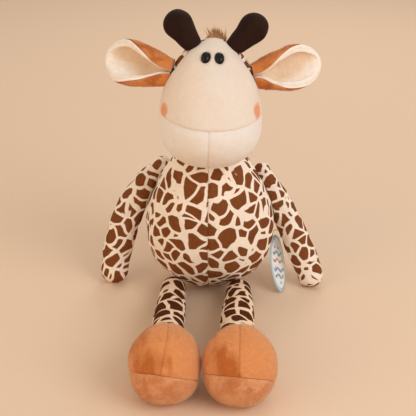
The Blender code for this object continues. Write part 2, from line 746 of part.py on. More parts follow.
def limb(path, tangents, radii, sides, across):
    """A stuffed tube along a path that never runs along across, with two round ends."""
    centres = []
    ways = []
    sizes = []
    dome = np.linspace(0.0, math.pi / 2, CAP_RINGS + 2)[1:-1]
    for angle in dome:
        centres.append(path[0] - tangents[0] * radii[0] * math.cos(angle))
        ways.append(tangents[0])
        sizes.append(radii[0] * math.sin(angle))
    centres.extend(path)
    ways.extend(tangents)
    sizes.extend(radii)
    for angle in dome[::-1]:
        centres.append(path[-1] + tangents[-1] * radii[-1] * math.cos(angle))
        ways.append(tangents[-1])
        sizes.append(radii[-1] * math.sin(angle))
    around = np.linspace(0.0, 2 * math.pi, sides, endpoint=False)
    rings = []
    for centre, way, size in zip(centres, ways, sizes):
        side = np.cross(across, way)
        side /= np.linalg.norm(side)
        other = np.cross(way, side)
        rings.append(centre + size * (np.cos(around)[:, None] * side
                                      + np.sin(around)[:, None] * other))
    first = path[0] - tangents[0] * radii[0]
    last = path[-1] + tangents[-1] * radii[-1]
    return skin(rings, first, last)


def bent_path(start, middle, end, count):
    """Points and directions along a curve that is drawn towards its middle point."""
    part = np.linspace(0.0, 1.0, count)[:, None]
    start, middle, end = (np.array(point) for point in (start, middle, end))
    path = (1 - part) ** 2 * start + 2 * part * (1 - part) * middle + part**2 * end
    way = 2 * (1 - part) * (middle - start) + 2 * part * (end - middle)
    return path, way / np.linalg.norm(way, axis=1)[:, None]


def shoulder(name, sign):
    """The middle of the ball at the top of an arm, beside the torso."""
    return off_torso(ARM_ROOT_HEIGHTS[name], sign * ARM_ROOT_BEARING,
                     ARM_ROOT_RADIUS + SEAM_GAP)


def make_arms(material):
    """Two arms that taper up to the shoulder, hands on the table, pressed to the body."""
    body = as_cutter(finish_mesh("arm_press", torso_form(PRESS_GAP), material))
    shares = smooth(ARM_SHARES, np.linspace(0.0, 1.0, ARM_RINGS))
    for name, sign in SIDES:
        root = shoulder(name, sign)
        radii = shares * ARM_RADII[name]
        radii[0] = ARM_ROOT_RADIUS
        hand = Vector((sign * HAND_OUT[name], -HAND_FORWARD[name], radii[-1] - FLAT_DEPTH))
        middle = (root + hand) / 2 + Vector((sign, 0.0, 1.0)) * ARM_BOWS[name]
        path, ways = bent_path(root, middle, hand, ARM_RINGS)
        ways[-1] = (ways[-1] + np.array((0.0, 0.0, -1.0))) / 2
        ways[-1] /= np.linalg.norm(ways[-1])
        builder = limb(path, ways, radii, LIMB_SIDES, (0.0, 1.0, 0.0))
        press_flat(builder)
        boolean(finish_mesh("arm_" + name, builder, material, root), body, "DIFFERENCE")


def hip(name, sign):
    """The middle of the ball at the top of a leg: it rests on the table, against the belly."""
    bearing = sign * HIP_BEARINGS[name]
    rest = HIP_RADIUS - FLAT_DEPTH
    level = settle(lambda height: off_torso(height, bearing, HIP_RADIUS + SEAM_GAP).z - rest,
                   *HIP_LEVELS)
    return off_torso(level, bearing, HIP_RADIUS + SEAM_GAP)


def ankle(name, sign):
    """The middle of the ball at the foot of a leg."""
    return Vector((sign * ANKLE_OUT[name], -ANKLE_FORWARD, ANKLE_HEIGHT))


def make_legs(material):
    """Two legs that widen from the hip to the ankle."""
    shares = smooth(LEG_SHARES, np.linspace(0.0, 1.0, LEG_RINGS))
    for name, sign in SIDES:
        start = hip(name, sign)
        end = ankle(name, sign)
        radii = shares * LEG_RADII[name]
        radii[0] = HIP_RADIUS
        radii[-1] = ANKLE_RADII[name]
        path, ways = bent_path(start, (start + end) / 2, end, LEG_RINGS)
        builder = limb(path, ways, radii, LIMB_SIDES, (0.0, 0.0, 1.0))
        press_flat(builder)
        finish_mesh("leg_" + name, builder, material, start)


def foot_form(name, sign):
    """One whole foot, resting on the table, with its narrow end over the ankle."""
    rings = egg(FOOT_LENGTH, FOOT_WIDTHS[name] / 2, FOOT_HEIGHT / 2, FOOT_WIDEST_SHARE,
                HEEL_POWER, TOE_POWER, FOOT_RINGS, FOOT_SIDES)
    builder = skin(rings, (0.0, 0.0, 0.0), (0.0, 0.0, FOOT_LENGTH))
    back = -ANKLE_FORWARD + ANKLE_INSET
    spot = Vector((sign * FOOT_OUT[name], back, FOOT_HEIGHT / 2 - FLAT_DEPTH))
    place(builder, Matrix.Translation(spot) @ Matrix.Rotation(math.pi / 2, 4, "X"))
    press_flat(builder)
    return builder


def make_feet(upper_finish, sole_finish):
    """Two feet, each an upper with the ankle's socket and a sole sewn on at a slant."""
    middle = -ANKLE_FORWARD + ANKLE_INSET - FOOT_LENGTH * FOOT_WIDEST_SHARE
    seam = Vector((0.0, middle, SOLE_SEAM_HEIGHT))
    up = Vector((0.0, math.sin(SOLE_TILT), math.cos(SOLE_TILT)))
    for name, sign in SIDES:
        pivot = ankle(name, sign)
        hollow = ball(ANKLE_RADII[name] + TURN_GAP, pivot)
        socket = as_cutter(finish_mesh("ankle_socket_" + name, hollow, upper_finish))
        upper = foot_form(name, sign)
        cut_away(upper, seam + up * SEAM_GAP / 2, -up)
        sole = foot_form(name, sign)
        cut_away(sole, seam - up * SEAM_GAP / 2, up)
        for title, form, finish in (("foot_upper_", upper, upper_finish),
                                    ("foot_sole_", sole, sole_finish)):
            piece = finish_mesh(title + name, form, finish, pivot)
            boolean(piece, socket, "DIFFERENCE")


def tail_root():
    """The middle of the round root of the tail, behind the seat."""
    return off_torso(TAIL_ROOT_HEIGHT, math.pi, TAIL_RADIUS + SEAM_GAP)


def make_tail(cord_finish, tuft_finish):
    """The tail comes down from the seat and lies back on the table, with its tuft on."""
    root = tail_root()
    tip = Vector((root.x, root.y + TAIL_LENGTH, TUFT_RADIUS))
    middle = Vector((root.x, (root.y + tip.y) / 2, TUFT_RADIUS))
    radii = smooth(TAIL_RADIUS_SHARES, np.linspace(0.0, 1.0, TAIL_RINGS)) * TAIL_RADIUS
    path, ways = bent_path(root, middle, tip, TAIL_RINGS)
    across = (1.0, 0.0, 0.0)
    finish_mesh("tail", limb(path, ways, radii, TRIM_SIDES, across), cord_finish, root)
    tuft = skin(egg(TUFT_LENGTH, TUFT_RADIUS, TUFT_RADIUS, TUFT_WIDEST_SHARE,
                    TUFT_ROOT_POWER, TUFT_TIP_POWER, TUFT_RINGS, TRIM_SIDES),
                (0.0, 0.0, 0.0), (0.0, 0.0, TUFT_LENGTH))
    start = tip - Vector((0.0, radii[-1], FLAT_DEPTH))
    place(tuft, Matrix.Translation(start) @ Matrix.Rotation(-math.pi / 2, 4, "X"))
    press_flat(tuft)
    piece = finish_mesh("tail_tuft", tuft, tuft_finish, root)
    seat = limb(path, ways, radii + SEAM_GAP, TRIM_SIDES, across)
    boolean(piece, as_cutter(finish_mesh("tail_socket", seat, tuft_finish)), "DIFFERENCE")


def loop_centre():
    """The middle of the tag's loop, which stands out to the left from its button."""
    stand_off = LOOP_RADIUS + LOOP_WIRE_RADIUS + LOOP_BUTTON_THICKNESS + SEAM_GAP
    return torso_point(LOOP_HEIGHT, LOOP_BEARING) + Vector((stand_off, 0.0, 0.0))


def tag_hole():
    """The middle of the hole in the card, where the loop's lowest wire passes."""
    return loop_centre() - Vector((0.0, 0.0, LOOP_RADIUS))


def card_turn(lean):
    """The card's turn about its hole when it leans forward by an angle."""
    return (Matrix.Rotation(-lean, 4, "X") @ Matrix.Rotation(TAG_YAW, 4, "Z")
            @ Matrix.Rotation(TAG_ROLL, 4, "Y"))


def card_clearance(lean):
    """How high the lowest point of the leaning card's edge is above the table."""
    across, _, along = card_turn(lean).row[2][:3]
    middle = tag_hole().z - (TAG_LENGTH / 2 - TAG_HOLE_INSET) * along
    return middle - math.hypot(TAG_LENGTH / 2 * along, TAG_WIDTH / 2 * across) - TAG_THICKNESS


def make_card(material):
    """The oval card, hung from the loop and leaning forward until it stands on the table."""
    hole = tag_hole()
    frame = Matrix.Translation(hole) @ card_turn(settle(card_clearance, *TAG_LEANS))
    half_length = TAG_LENGTH / 2
    centre = TAG_HOLE_INSET - half_length
    builder = bmesh.new()
    around = np.linspace(0.0, 2 * math.pi, CARD_SIDES, endpoint=False)
    corners = [builder.verts.new((TAG_WIDTH / 2 * math.sin(angle), -TAG_THICKNESS / 2,
                                  centre + half_length * math.cos(angle))) for angle in around]
    swept = bmesh.ops.extrude_face_region(builder, geom=[builder.faces.new(corners)])
    moved = [item for item in swept["geom"] if isinstance(item, bmesh.types.BMVert)]
    bmesh.ops.translate(builder, verts=moved, vec=(0.0, TAG_THICKNESS, 0.0))
    place(builder, frame)
    card = finish_mesh("tag_card", builder, material, hole)
    punch = bmesh.new()
    bmesh.ops.create_cone(punch, cap_ends=True, segments=EYE_SIDES, radius1=TAG_HOLE_RADIUS,
                          radius2=TAG_HOLE_RADIUS, depth=CUT_OVERRUN)
    place(punch, frame @ Matrix.Rotation(math.pi / 2, 4, "X"))
    boolean(card, as_cutter(finish_mesh("tag_punch", punch, material)), "DIFFERENCE")


def make_loop(material):
    """The plastic loop, standing upright on the button that holds it to the torso."""
    middle = loop_centre()
    start = middle - Vector((LOOP_RADIUS, 0.0, 0.0))
    ring = bmesh.new()
    verts = []
    for step in range(LOOP_SIDES):
        angle = 2 * math.pi * step / LOOP_SIDES
        way = Vector((math.cos(angle), math.sin(angle), 0.0))
        verts.append(ring.verts.new(start + way * LOOP_WIRE_RADIUS))
    edges = [ring.edges.new((verts[step - 1], verts[step])) for step in range(LOOP_SIDES)]
    bmesh.ops.spin(ring, geom=verts + edges, cent=middle, axis=(0.0, 1.0, 0.0),
                   angle=2 * math.pi, steps=LOOP_SEGMENTS, use_merge=True)
    loop = finish_mesh("tag_loop", ring, material)
    depth = LOOP_BUTTON_THICKNESS + LOOP_WIRE_RADIUS
    button = bmesh.new()
    bmesh.ops.create_cone(button, cap_ends=True, segments=TRIM_SIDES,
                          radius1=LOOP_BUTTON_RADIUS, radius2=LOOP_BUTTON_RADIUS, depth=depth)
    seat = off_torso(LOOP_HEIGHT, LOOP_BEARING, SEAM_GAP + depth / 2)
    normal = torso_normal(LOOP_HEIGHT, LOOP_BEARING)
    turn = normal.to_track_quat("Z", "Y").to_matrix().to_4x4()
    place(button, Matrix.Translation(seat) @ turn)
    boolean(loop, as_cutter(finish_mesh("loop_button", button, material)), "UNION")


def main():
    """Clear the scene and make every piece of the giraffe."""
    for item in list(bpy.data.objects):
        bpy.data.objects.remove(item, do_unlink=True)
    print_fabric = paint("giraffe_print", (0.42, 0.22, 0.10), 0.95)
    cream = paint("cream_velour", (0.86, 0.75, 0.60), 0.95)
    pale = paint("pale_velour", (0.84, 0.73, 0.62), 0.95)
    orange = paint("orange_velour", (0.62, 0.29, 0.10), 0.95)
    sole = paint("sole_velour", (0.72, 0.42, 0.21), 0.95)
    dark = paint("dark_velour", (0.035, 0.016, 0.012), 0.95)
    hair = paint("brown_hair", (0.34, 0.16, 0.06), 0.9)
    black = paint("black_plastic", (0.008, 0.008, 0.009), 0.15)
    white = paint("white_plastic", (0.75, 0.75, 0.73), 0.5)
    card = paint("tag_card", (0.80, 0.86, 0.88), 0.45)

    make_torso(print_fabric)
    face = make_head(print_fabric, cream, pale)
    make_eyes(face, black, white)
    seat = as_cutter(finish_mesh("head_seat", head_form(SEAM_GAP), cream))
    make_horns(seat, dark)
    make_ears(orange, cream)
    make_mane(seat, hair)
    make_arms(print_fabric)
    make_legs(print_fabric)
    make_feet(orange, sole)
    make_tail(print_fabric, hair)
    make_card(card)
    make_loop(white)


main()
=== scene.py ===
"""Plush giraffe: fabric, fur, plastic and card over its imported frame.

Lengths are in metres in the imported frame: the giraffe sits on z = 0, faces -Y, and its left
is at +X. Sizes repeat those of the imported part, but the face seam runs up to 8 mm further back
at the crown here. Every soft piece is a closed surface worked out from two parameters on a
grid, with its seams, puckers and creases pressed in afterwards.
"""
import math

import bpy
import numpy as np
from mathutils import Matrix, Vector


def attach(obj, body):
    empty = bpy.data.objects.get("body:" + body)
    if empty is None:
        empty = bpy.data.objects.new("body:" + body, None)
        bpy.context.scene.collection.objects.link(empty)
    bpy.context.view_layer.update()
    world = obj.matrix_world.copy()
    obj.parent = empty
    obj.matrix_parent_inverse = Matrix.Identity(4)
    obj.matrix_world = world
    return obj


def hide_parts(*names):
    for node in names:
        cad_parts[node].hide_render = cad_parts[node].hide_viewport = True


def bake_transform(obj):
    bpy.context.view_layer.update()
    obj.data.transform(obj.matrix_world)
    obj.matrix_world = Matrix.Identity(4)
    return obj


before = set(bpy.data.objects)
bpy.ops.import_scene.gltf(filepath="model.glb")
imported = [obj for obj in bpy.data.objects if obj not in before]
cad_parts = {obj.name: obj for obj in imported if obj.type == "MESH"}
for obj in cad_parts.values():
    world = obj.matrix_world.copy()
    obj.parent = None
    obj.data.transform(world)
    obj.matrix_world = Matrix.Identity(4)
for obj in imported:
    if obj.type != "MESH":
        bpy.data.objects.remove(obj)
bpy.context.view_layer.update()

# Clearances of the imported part
SEAM_GAP = 0.0003
TURN_GAP = 0.0006
FLAT_DEPTH = 0.0005
PRESS_GAP = 0.0005

# Torso
BELLY_WIDTH = 0.149
BELLY_DEPTH = 0.140
BELLY_HEIGHT = 0.078
BELLY_FORWARD = 0.012
NECK_RADIUS = 0.036
NECK_HEIGHT = 0.168
NECK_FORWARD = 0.024
SEAT_POWER = 2.15
BELLY_RISE_SHARE = 0.36
SHOULDER_OUT_SHARE = 0.31
SHOULDER_DROP_SHARE = 0.14

# Head
HEAD_LENGTH = 0.134
HEAD_WIDTH = 0.108
HEAD_DEPTH = 0.108
HEAD_FORWARD = 0.051
CHIN_LIFT = 0.0054
HEAD_LEAN = math.radians(15.0)
HEAD_ROLL = math.radians(2.2)
HEAD_WIDEST_SHARE = 0.38
CHIN_POWER = 2.45
CROWN_POWER = 1.95
FACE_SEAM_SHARES = (
    (0.95, -0.20), (0.86, 0.10), (0.62, 0.38), (0.20, 0.56), (-0.15, 0.67),
    (-0.28, 0.78), (-0.25, 0.90), (-0.05, 1.00), (-0.02, 1.20),
)
MOUTH_HEIGHT_SHARE = 0.314
MOUTH_TILT = math.radians(20.0)

# Eyes
EYE_WIDTH = 0.0098
EYE_HEIGHT = 0.0136
EYE_BULGE = 0.0048
EYE_SPACING_SHARE = 0.128
EYE_LEVEL_SHARE = 0.853
EYE_SINK = 0.0012
EYE_EDGE_SHARE = 0.12

# Horns
HORN_LENGTHS = {"left": 0.0500, "right": 0.0478}
HORN_KNOB_RADIUS = 0.0152
HORN_ROOT_SPACING_SHARE = 0.389
HORN_LEVEL_SHARE = 0.935
HORN_BACK_SHARE = -0.16
HORN_SPREADS = {"left": math.radians(43.0), "right": math.radians(38.0)}
HORN_LEAN = math.radians(4.0)
HORN_SINK_SHARE = 0.14
HORN_SEAM_RADIUS = 0.012
HORN_RADIUS_SHARES = (
    (0.00, 0.66), (0.12, 0.68), (0.26, 0.71), (0.42, 0.80), (0.56, 0.93), (0.69, 1.00),
)

# Ears
EAR_LENGTH = 0.074
EAR_HALF_HEIGHTS = {"left": 0.0201, "right": 0.0212}
EAR_BACK_THICKNESS = 0.0024
EAR_LINING_THICKNESS = 0.0022
EAR_RIM_THICKNESS = 0.0014
EAR_LEVEL_SHARE = 0.727
EAR_BACK_SHARE = -0.02
EAR_SINK_SHARE = 0.19
EAR_FOLD_DEPTH_SHARE = 0.62
EAR_LIFTS = {"left": math.radians(15.0), "right": math.radians(10.0)}
EAR_SWEEP = math.radians(8.0)
EAR_HEIGHT_SHARES = (
    (0.00, 0.54), (0.12, 0.66), (0.25, 0.78), (0.40, 0.91), (0.55, 0.99), (0.65, 1.00),
    (0.80, 0.91), (0.92, 0.66), (0.98, 0.36), (1.00, 0.16),
)
EAR_FOLD_SHARES = (0.00, 0.13, 0.25, 0.40, 0.55, 0.70, 0.85, 1.00)
EAR_UPPER_FOLDS = {
    "left": (172, 168, 156, 138, 119, 100, 72, 42),
    "right": (172, 170, 160, 146, 125, 98, 72, 42),
}
EAR_LOWER_FOLDS = {
    "left": (172, 160, 132, 114, 104, 92, 70, 42),
    "right": (172, 166, 152, 141, 131, 110, 80, 42),
}

# Mane
MANE_HALF_WIDTH = 0.0095
MANE_RISE = 0.0095
MANE_LEVEL_SHARES = (0.985, 0.42)

# Arms
ARM_ROOT_RADIUS = 0.0090
ARM_RADII = {"left": 0.0160, "right": 0.0173}
ARM_ROOT_HEIGHTS = {"left": 0.1290, "right": 0.1370}
ARM_ROOT_BEARING = math.radians(120.0)
ARM_SHARES = ((0.0, 0.54), (0.22, 0.80), (0.50, 0.97), (0.75, 1.0), (1.0, 0.93))
HAND_OUT = {"left": 0.1185, "right": 0.1130}
HAND_FORWARD = {"left": 0.0180, "right": 0.0160}
ARM_BOWS = {"left": 0.0040, "right": 0.0185}
ARM_SEAM_RADIUS = 0.015

# Legs
HIP_RADIUS = 0.0140
HIP_PLACES = {"left": (0.03476, -0.05941, 0.0135), "right": (-0.04043, -0.05568, 0.0135)}
LEG_RADII = {"left": 0.0172, "right": 0.0162}
ANKLE_RADII = {"left": 0.0192, "right": 0.0180}
ANKLE_OUT = {"left": 0.0330, "right": 0.0370}
ANKLE_FORWARD = 0.196
ANKLE_HEIGHT = 0.0360
LEG_SHARES = ((0.0, 0.84), (0.25, 0.93), (0.55, 1.0), (0.85, 1.07), (1.0, 1.10))

# Feet
FOOT_LENGTH = 0.0840
FOOT_WIDTHS = {"left": 0.0718, "right": 0.0692}
FOOT_OUT = {"left": 0.0358, "right": 0.0355}
FOOT_HEIGHT = 0.0755
FOOT_WIDEST_SHARE = 0.56
HEEL_POWER = 1.75
TOE_POWER = 2.15
ANKLE_INSET = 0.0040
SOLE_TILT = math.radians(35.0)
SOLE_SEAM_HEIGHT = 0.0230

# Tail
TAIL_RADIUS = 0.0048
TAIL_LENGTH = 0.062
TAIL_ROOT = (0.0, 0.05629, 0.03245)
TAIL_RADIUS_SHARES = ((0.0, 1.0), (0.5, 0.94), (1.0, 0.90))
TUFT_LENGTH = 0.034
TUFT_RADIUS = 0.0095
TUFT_WIDEST_SHARE = 0.42
TUFT_ROOT_POWER = 2.0
TUFT_TIP_POWER = 1.35

# Hang tag
TAG_LENGTH = 0.069
TAG_WIDTH = 0.033
TAG_THICKNESS = 0.0007
TAG_HOLE_RADIUS = 0.0020
TAG_HOLE_INSET = 0.0050
TAG_YAW = math.radians(57.0)
TAG_ROLL = math.radians(-9.0)
TAG_HOLE = (0.07792, 0.003, 0.05)

SIDES = (("left", 1), ("right", -1))
NECK = np.array((0.0, -NECK_FORWARD, NECK_HEIGHT))
SEARCH_STEPS = 30
FINEST_SHARE = 0.001

# How far a search for a surface goes, and how wide it opens: from a middle point, round the
# pole of a panel, and up a horn or an ear whose root is hidden in the head
FURTHEST = 0.12
WIDEST_ANGLE = 2.9
HIDDEN_SHARE = 0.6
# Rings that close a panel towards its middle, and the row of a limb that shows its way out
INNER_SHARES = (0.94, 0.6)
LIMB_TEST_ROW = 60

# Pile and hair: how thick, how long and how many
FIBRE_THICKNESS = 0.00016
PILE_LENGTH = 0.0014
EAR_PILE_COUNT = 7000
FOOT_PILE_COUNTS = {"upper": 12000, "sole": 7000}
MANE_HAIR_COUNT = 1300
MANE_HAIR_THICKNESS = 0.00056
TUFT_HAIR_COUNT = 420
TUFT_HAIR_THICKNESS = 0.00045

# Seams: how deep their groove is and how wide
TORSO_SEAM = (0.0017, 0.0013)
PANEL_SEAM = (0.0016, 0.0013)
CHIN_SEAM = (0.0015, 0.0011)
HORN_ROOT_SEAM = (0.0012, 0.0014)
HORN_BACK_SEAM = (0.0005, 0.0012)
ARM_SEAM = (0.0008, 0.0012)
SOLE_SEAM = (0.0008, 0.0020)
INSTEP_SEAM = (0.0016, 0.0012)

# Puckers across the torso's seams, gathers under its neck, where both fade out, and the
# smooth hollow behind the hang tag
PUCKER_DEPTH, PUCKER_PITCH, PUCKER_REACH = 0.00022, 0.0064, 0.008
GATHER_DEPTH, GATHER_COUNT, GATHER_LEVEL, GATHER_REACH = 0.0007, 22, 0.157, 0.016
TORSO_FADE = 0.012
TAG_HOLLOW_DEPTH, TAG_HOLLOW_REACH = 0.0008, 0.040

# The face: lips over and under the mouth seam, the brow under the eyes and their dimples
MOUTH_SINKS = {"face": -0.0005, "jaw": 0.0007, "head_back": 0.0}
MOUTH_REACH = 0.0065
BROW_DEPTH, BROW_REACH, BROW_HALF_WIDTH = 0.0009, 0.007, 0.032
DIMPLE_DEPTH = 0.0010


# ---------------------------------------------------------------- shapes


def smooth(table, shares):
    """Values between a table's points, on cubic pieces with level tangents at both ends."""
    places, values = np.array(table, dtype=float).T
    slopes = np.gradient(values, places)
    slopes[0] = slopes[-1] = 0.0
    span = np.clip(np.searchsorted(places, shares, side="right") - 1, 0, len(places) - 2)
    width = places[span + 1] - places[span]
    part = np.clip((shares - places[span]) / width, 0.0, 1.0)
    first = values[span] * (2 * part**3 - 3 * part**2 + 1)
    last = values[span + 1] * (3 * part**2 - 2 * part**3)
    leaving = slopes[span] * width * (part**3 - 2 * part**2 + part)
    arriving = slopes[span + 1] * width * (part**3 - part**2)
    return first + last + leaving + arriving


def eased(value, low, high):
    """0 up to low, 1 from high, and a smooth rise between them."""
    part = np.clip((value - low) / (high - low), 0.0, 1.0)
    return part**2 * (3 - 2 * part)


def lengths(ways):
    """The length of each row of three numbers."""
    return np.linalg.norm(ways, axis=-1, keepdims=True)


def full_turn(sides):
    """Even turns all round a ring."""
    return np.linspace(0.0, 2 * math.pi, sides, endpoint=False)


def halved(low, high, within):
    """Both ends of a search, halved again and again between what is within and what isn't."""
    for _ in range(SEARCH_STEPS):
        middle = (low + high) / 2
        inside = within(middle)
        low, high = np.where(inside, middle, low), np.where(inside, high, middle)
    return low, high


def lumps(points, size, seed, waves=14):
    """Soft unevenness, mostly between -1 and 1.

    Sine waves of about the given length run in many directions and are added.
    """
    chance = np.random.default_rng(seed)
    ways = chance.normal(size=(waves, 3))
    ways *= 2 * math.pi / size * chance.uniform(0.7, 1.4, (waves, 1)) / lengths(ways)
    phases = chance.uniform(0.0, 2 * math.pi, waves)
    return np.sin(points @ ways.T + phases).sum(axis=-1) * math.sqrt(1 / waves)


def grid_normals(points, closed=True):
    """The way out of a grid's surface: its step around crossed with its step along."""
    if closed:
        around = np.roll(points, -1, axis=1) - np.roll(points, 1, axis=1)
    else:
        around = np.gradient(points, axis=1)
    along = np.gradient(points, axis=0)
    normals = np.cross(around, along)
    return normals / np.maximum(lengths(normals), 1e-12)


def ring_faces(rows, sides, start=0):
    """Four-cornered faces between neighbouring rows of closed rings."""
    first = start + np.arange(rows - 1)[:, None] * sides
    here = first + np.arange(sides)
    after = first + (np.arange(sides) + 1) % sides
    return np.stack([here, after, after + sides, here + sides], axis=-1).reshape(-1, 4)


def fan_faces(ring, pole):
    """Three-cornered faces from a ring of vertex numbers to a pole."""
    return np.stack([ring, np.roll(ring, -1), np.full(len(ring), pole)], axis=-1)


def enclosed(points, faces):
    """The signed volume inside closed faces: each fan triangle's corners multiplied out."""
    total = 0.0
    for corner in range(1, faces.shape[1] - 1):
        a, b, c = points[faces[:, 0]], points[faces[:, corner]], points[faces[:, corner + 1]]
        total += np.einsum("ij,ij->i", a, np.cross(b, c)).sum() / 6
    return total


def add_object(name, data):
    """A new object of the scene that holds a mesh, a lamp or a camera."""
    added = bpy.data.objects.new(name, data)
    bpy.context.scene.collection.objects.link(added)
    return added


def spread_faces(mesh):
    """A map that gives each face a small square of its own, for pieces of many thin faces."""
    count = len(mesh.polygons)
    across = math.ceil(math.sqrt(count))
    totals = np.empty(count, dtype=np.int32)
    mesh.polygons.foreach_get("loop_total", totals)
    face = np.repeat(np.arange(count), totals)
    corner = np.arange(len(face)) - np.repeat(np.cumsum(totals) - totals, totals)
    square = np.array(((0.2, 0.2), (0.8, 0.2), (0.8, 0.8), (0.2, 0.8)))
    places = (np.stack(np.divmod(face, across), axis=-1) + square[corner]) / across
    layer = mesh.uv_layers.new(name="OFBake")
    layer.uv.foreach_set("vector", places.astype(np.float32).ravel())


def make_piece(name, points, faces, material, body, nodes=(), marks=None,
               sewn_to=None):
    """Put whole arrays into a closed, smooth mesh that faces outwards.

    Marks are values for the first vertices, which the finish reads by name; they are 0 on the
    rest. Fabric that is sewn to another body keeps its place and is attached to no body; what
    it is sewn to is not used.
    """
    if sum(enclosed(points, group) for group in faces) < 0:
        faces = [group[:, ::-1] for group in faces]
    mesh = bpy.data.meshes.new(name)
    mesh.from_pydata(points.tolist(), [], [row for group in faces for row in group.tolist()])
    mesh.update()
    for title, values in (marks or {}).items():
        values = np.append(values, np.zeros(len(points) - np.size(values)))
        attribute = mesh.attributes.new(title, "FLOAT", "POINT")
        attribute.data.foreach_set("value", np.ascontiguousarray(values, dtype=np.float32))
    if material in (painted_light_foot_pile, painted_light_ear_pile, hair_strand):
        spread_faces(mesh)
    mesh.shade_smooth()
    mesh.materials.append(material)
    piece = add_object(name, mesh)
    if sewn_to:
        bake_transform(piece)
    else:
        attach(piece, body)
    if nodes:
        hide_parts(*nodes)
    return piece


def skin(rings, first_pole, last_pole):
    """The vertices and faces of closed rings with a pole at each end."""
    rows, sides, _ = rings.shape
    points = np.concatenate([rings.reshape(-1, 3), [first_pole], [last_pole]])
    last = rows * sides
    ring = np.arange(sides)
    return points, [ring_faces(rows, sides), fan_faces(ring[::-1], last),
                    fan_faces(ring + last - sides, last + 1)]


def pressed_flat(points):
    """What would be below the table is pressed up to it."""
    flat = points.copy()
    flat[..., 2] = np.maximum(flat[..., 2], 0.0)
    return flat


def seam_groove(distance, depth, width):
    """How far a seam pulls the fabric in: a sharp crease in a soft rolled valley."""
    away = np.abs(distance)
    return depth * (0.6 * np.exp(-(away / width) ** 1.5) + 0.4 * np.exp(-(away / width / 4) ** 2))


def seam_shade(distance, width=0.0008):
    """Painted shade along a seam: 1 on the stitches where the pile is caught, falling off to both
    sides.
    """
    return np.exp(-(np.abs(distance) / width) ** 2)


def crowded(sides, turn, share=0.7):
    """Turns round a ring, crowded together at a turn and opposite it, where seams run."""
    even = full_turn(sides)
    return turn + even - share / 2 * np.sin(2 * even)


def fibres(points, chosen, comb, count, reach, seed):
    """Short fibres of a brushed pile, spread evenly over the chosen part of a grid.

    Each is a thin pointed spike on a three-cornered foot. It leans along the comb's way,
    way = 0.9 out + 0.4 comb + chance, where the comb lies in the surface. It also gives the
    row and column of the grid that each point belongs to.
    """
    along, aside = points[1:, :-1] - points[:-1, :-1], points[:-1, 1:] - points[:-1, :-1]
    out = np.cross(along, aside)
    area = lengths(out)[..., 0] * chosen[:-1, :-1]
    chance = np.random.default_rng(seed)
    pick = chance.choice(area.size, count, p=(area / area.sum()).ravel())
    row, column = np.divmod(pick, area.shape[1])
    part, share = chance.uniform(size=(2, count, 1))
    roots = (points[row, column] + along[row, column] * part + aside[row, column] * share)
    out = out[row, column] / lengths(out[row, column])
    comb = comb[row, column] - np.sum(comb[row, column] * out, -1, keepdims=True) * out
    ways = 0.9 * out + 0.4 * comb / lengths(comb) + chance.normal(0.0, 0.25, (count, 3))
    ways /= lengths(ways)
    side = np.cross(ways, out) + chance.normal(0.0, 0.02, (count, 3))
    side /= lengths(side)
    other = np.cross(ways, side)
    turn = (np.arange(3) * 2 * math.pi / 3)[:, None]
    thick = FIBRE_THICKNESS * (np.cos(turn) * side[:, None] + np.sin(turn) * other[:, None])
    size = reach * chance.uniform(0.6, 1.2, (count, 1, 1))
    feet = roots[:, None] - 0.2 * size * ways[:, None] + thick
    tips = roots[:, None] + size * ways[:, None]
    number = 4 * np.arange(count)[:, None, None]
    one = np.array([[0, 2, 1], [0, 1, 3], [1, 2, 3], [2, 0, 3]])
    spikes = np.concatenate([feet, tips], axis=1).reshape(-1, 3)
    return spikes, [(number + one).reshape(-1, 3)], (np.repeat(row, 4), np.repeat(column, 4))


def in_place(matrix, points):
    """Points moved by a 4 x 4 matrix."""
    turn = np.array(matrix)
    return points @ turn[:3, :3].T + turn[:3, 3]


# ---------------------------------------------------------------- torso


def torso_outline(seat_rows=70, rise_rows=90, neck_rows=30):
    """Half-width against height: flattened seat, slack rise to the shoulders, neck ball."""
    belly = BELLY_WIDTH / 2
    turn = np.linspace(0.0, math.pi / 2, seat_rows + 1)
    seat_out = belly * np.sin(turn) ** (2 / SEAT_POWER)
    seat_up = BELLY_HEIGHT - (BELLY_HEIGHT + FLAT_DEPTH) * np.cos(turn) ** (2 / SEAT_POWER)
    rise = NECK_HEIGHT - BELLY_HEIGHT
    corners = np.array([
        (belly, BELLY_HEIGHT),
        (belly, BELLY_HEIGHT + rise * BELLY_RISE_SHARE),
        (NECK_RADIUS + (belly - NECK_RADIUS) * SHOULDER_OUT_SHARE,
         NECK_HEIGHT - rise * SHOULDER_DROP_SHARE),
        (NECK_RADIUS, NECK_HEIGHT),
    ])
    part = np.linspace(0.0, 1.0, rise_rows + 1)[1:]
    weights = np.stack([
        (1 - part) ** 3, 3 * part * (1 - part) ** 2, 3 * part**2 * (1 - part), part**3,
    ])
    curve = weights.T @ corners
    climb = np.linspace(0.0, math.pi / 2, neck_rows + 1)[1:]
    out = np.concatenate([seat_out, curve[:, 0], NECK_RADIUS * np.cos(climb)])
    up = np.concatenate([seat_up, curve[:, 1], NECK_HEIGHT + NECK_RADIUS * np.sin(climb)])
    return out, up


def torso_depth_share(height):
    """The torso is shallower than it is wide at the belly, and round at the neck."""
    return np.interp(height, (BELLY_HEIGHT, NECK_HEIGHT), (BELLY_DEPTH / BELLY_WIDTH, 1.0))


def torso_middle(height):
    """Where the torso's middle line lies along Y at a height: it bends forward of the seat."""
    below = np.clip(1 - height / BELLY_HEIGHT, 0.0, 1.0)
    above = np.clip((height - BELLY_HEIGHT) / (NECK_HEIGHT - BELLY_HEIGHT), 0.0, 1.0)
    rise = above**2 * (3 - 2 * above)
    return -BELLY_FORWARD * (1 - below**2) - (NECK_FORWARD - BELLY_FORWARD) * rise


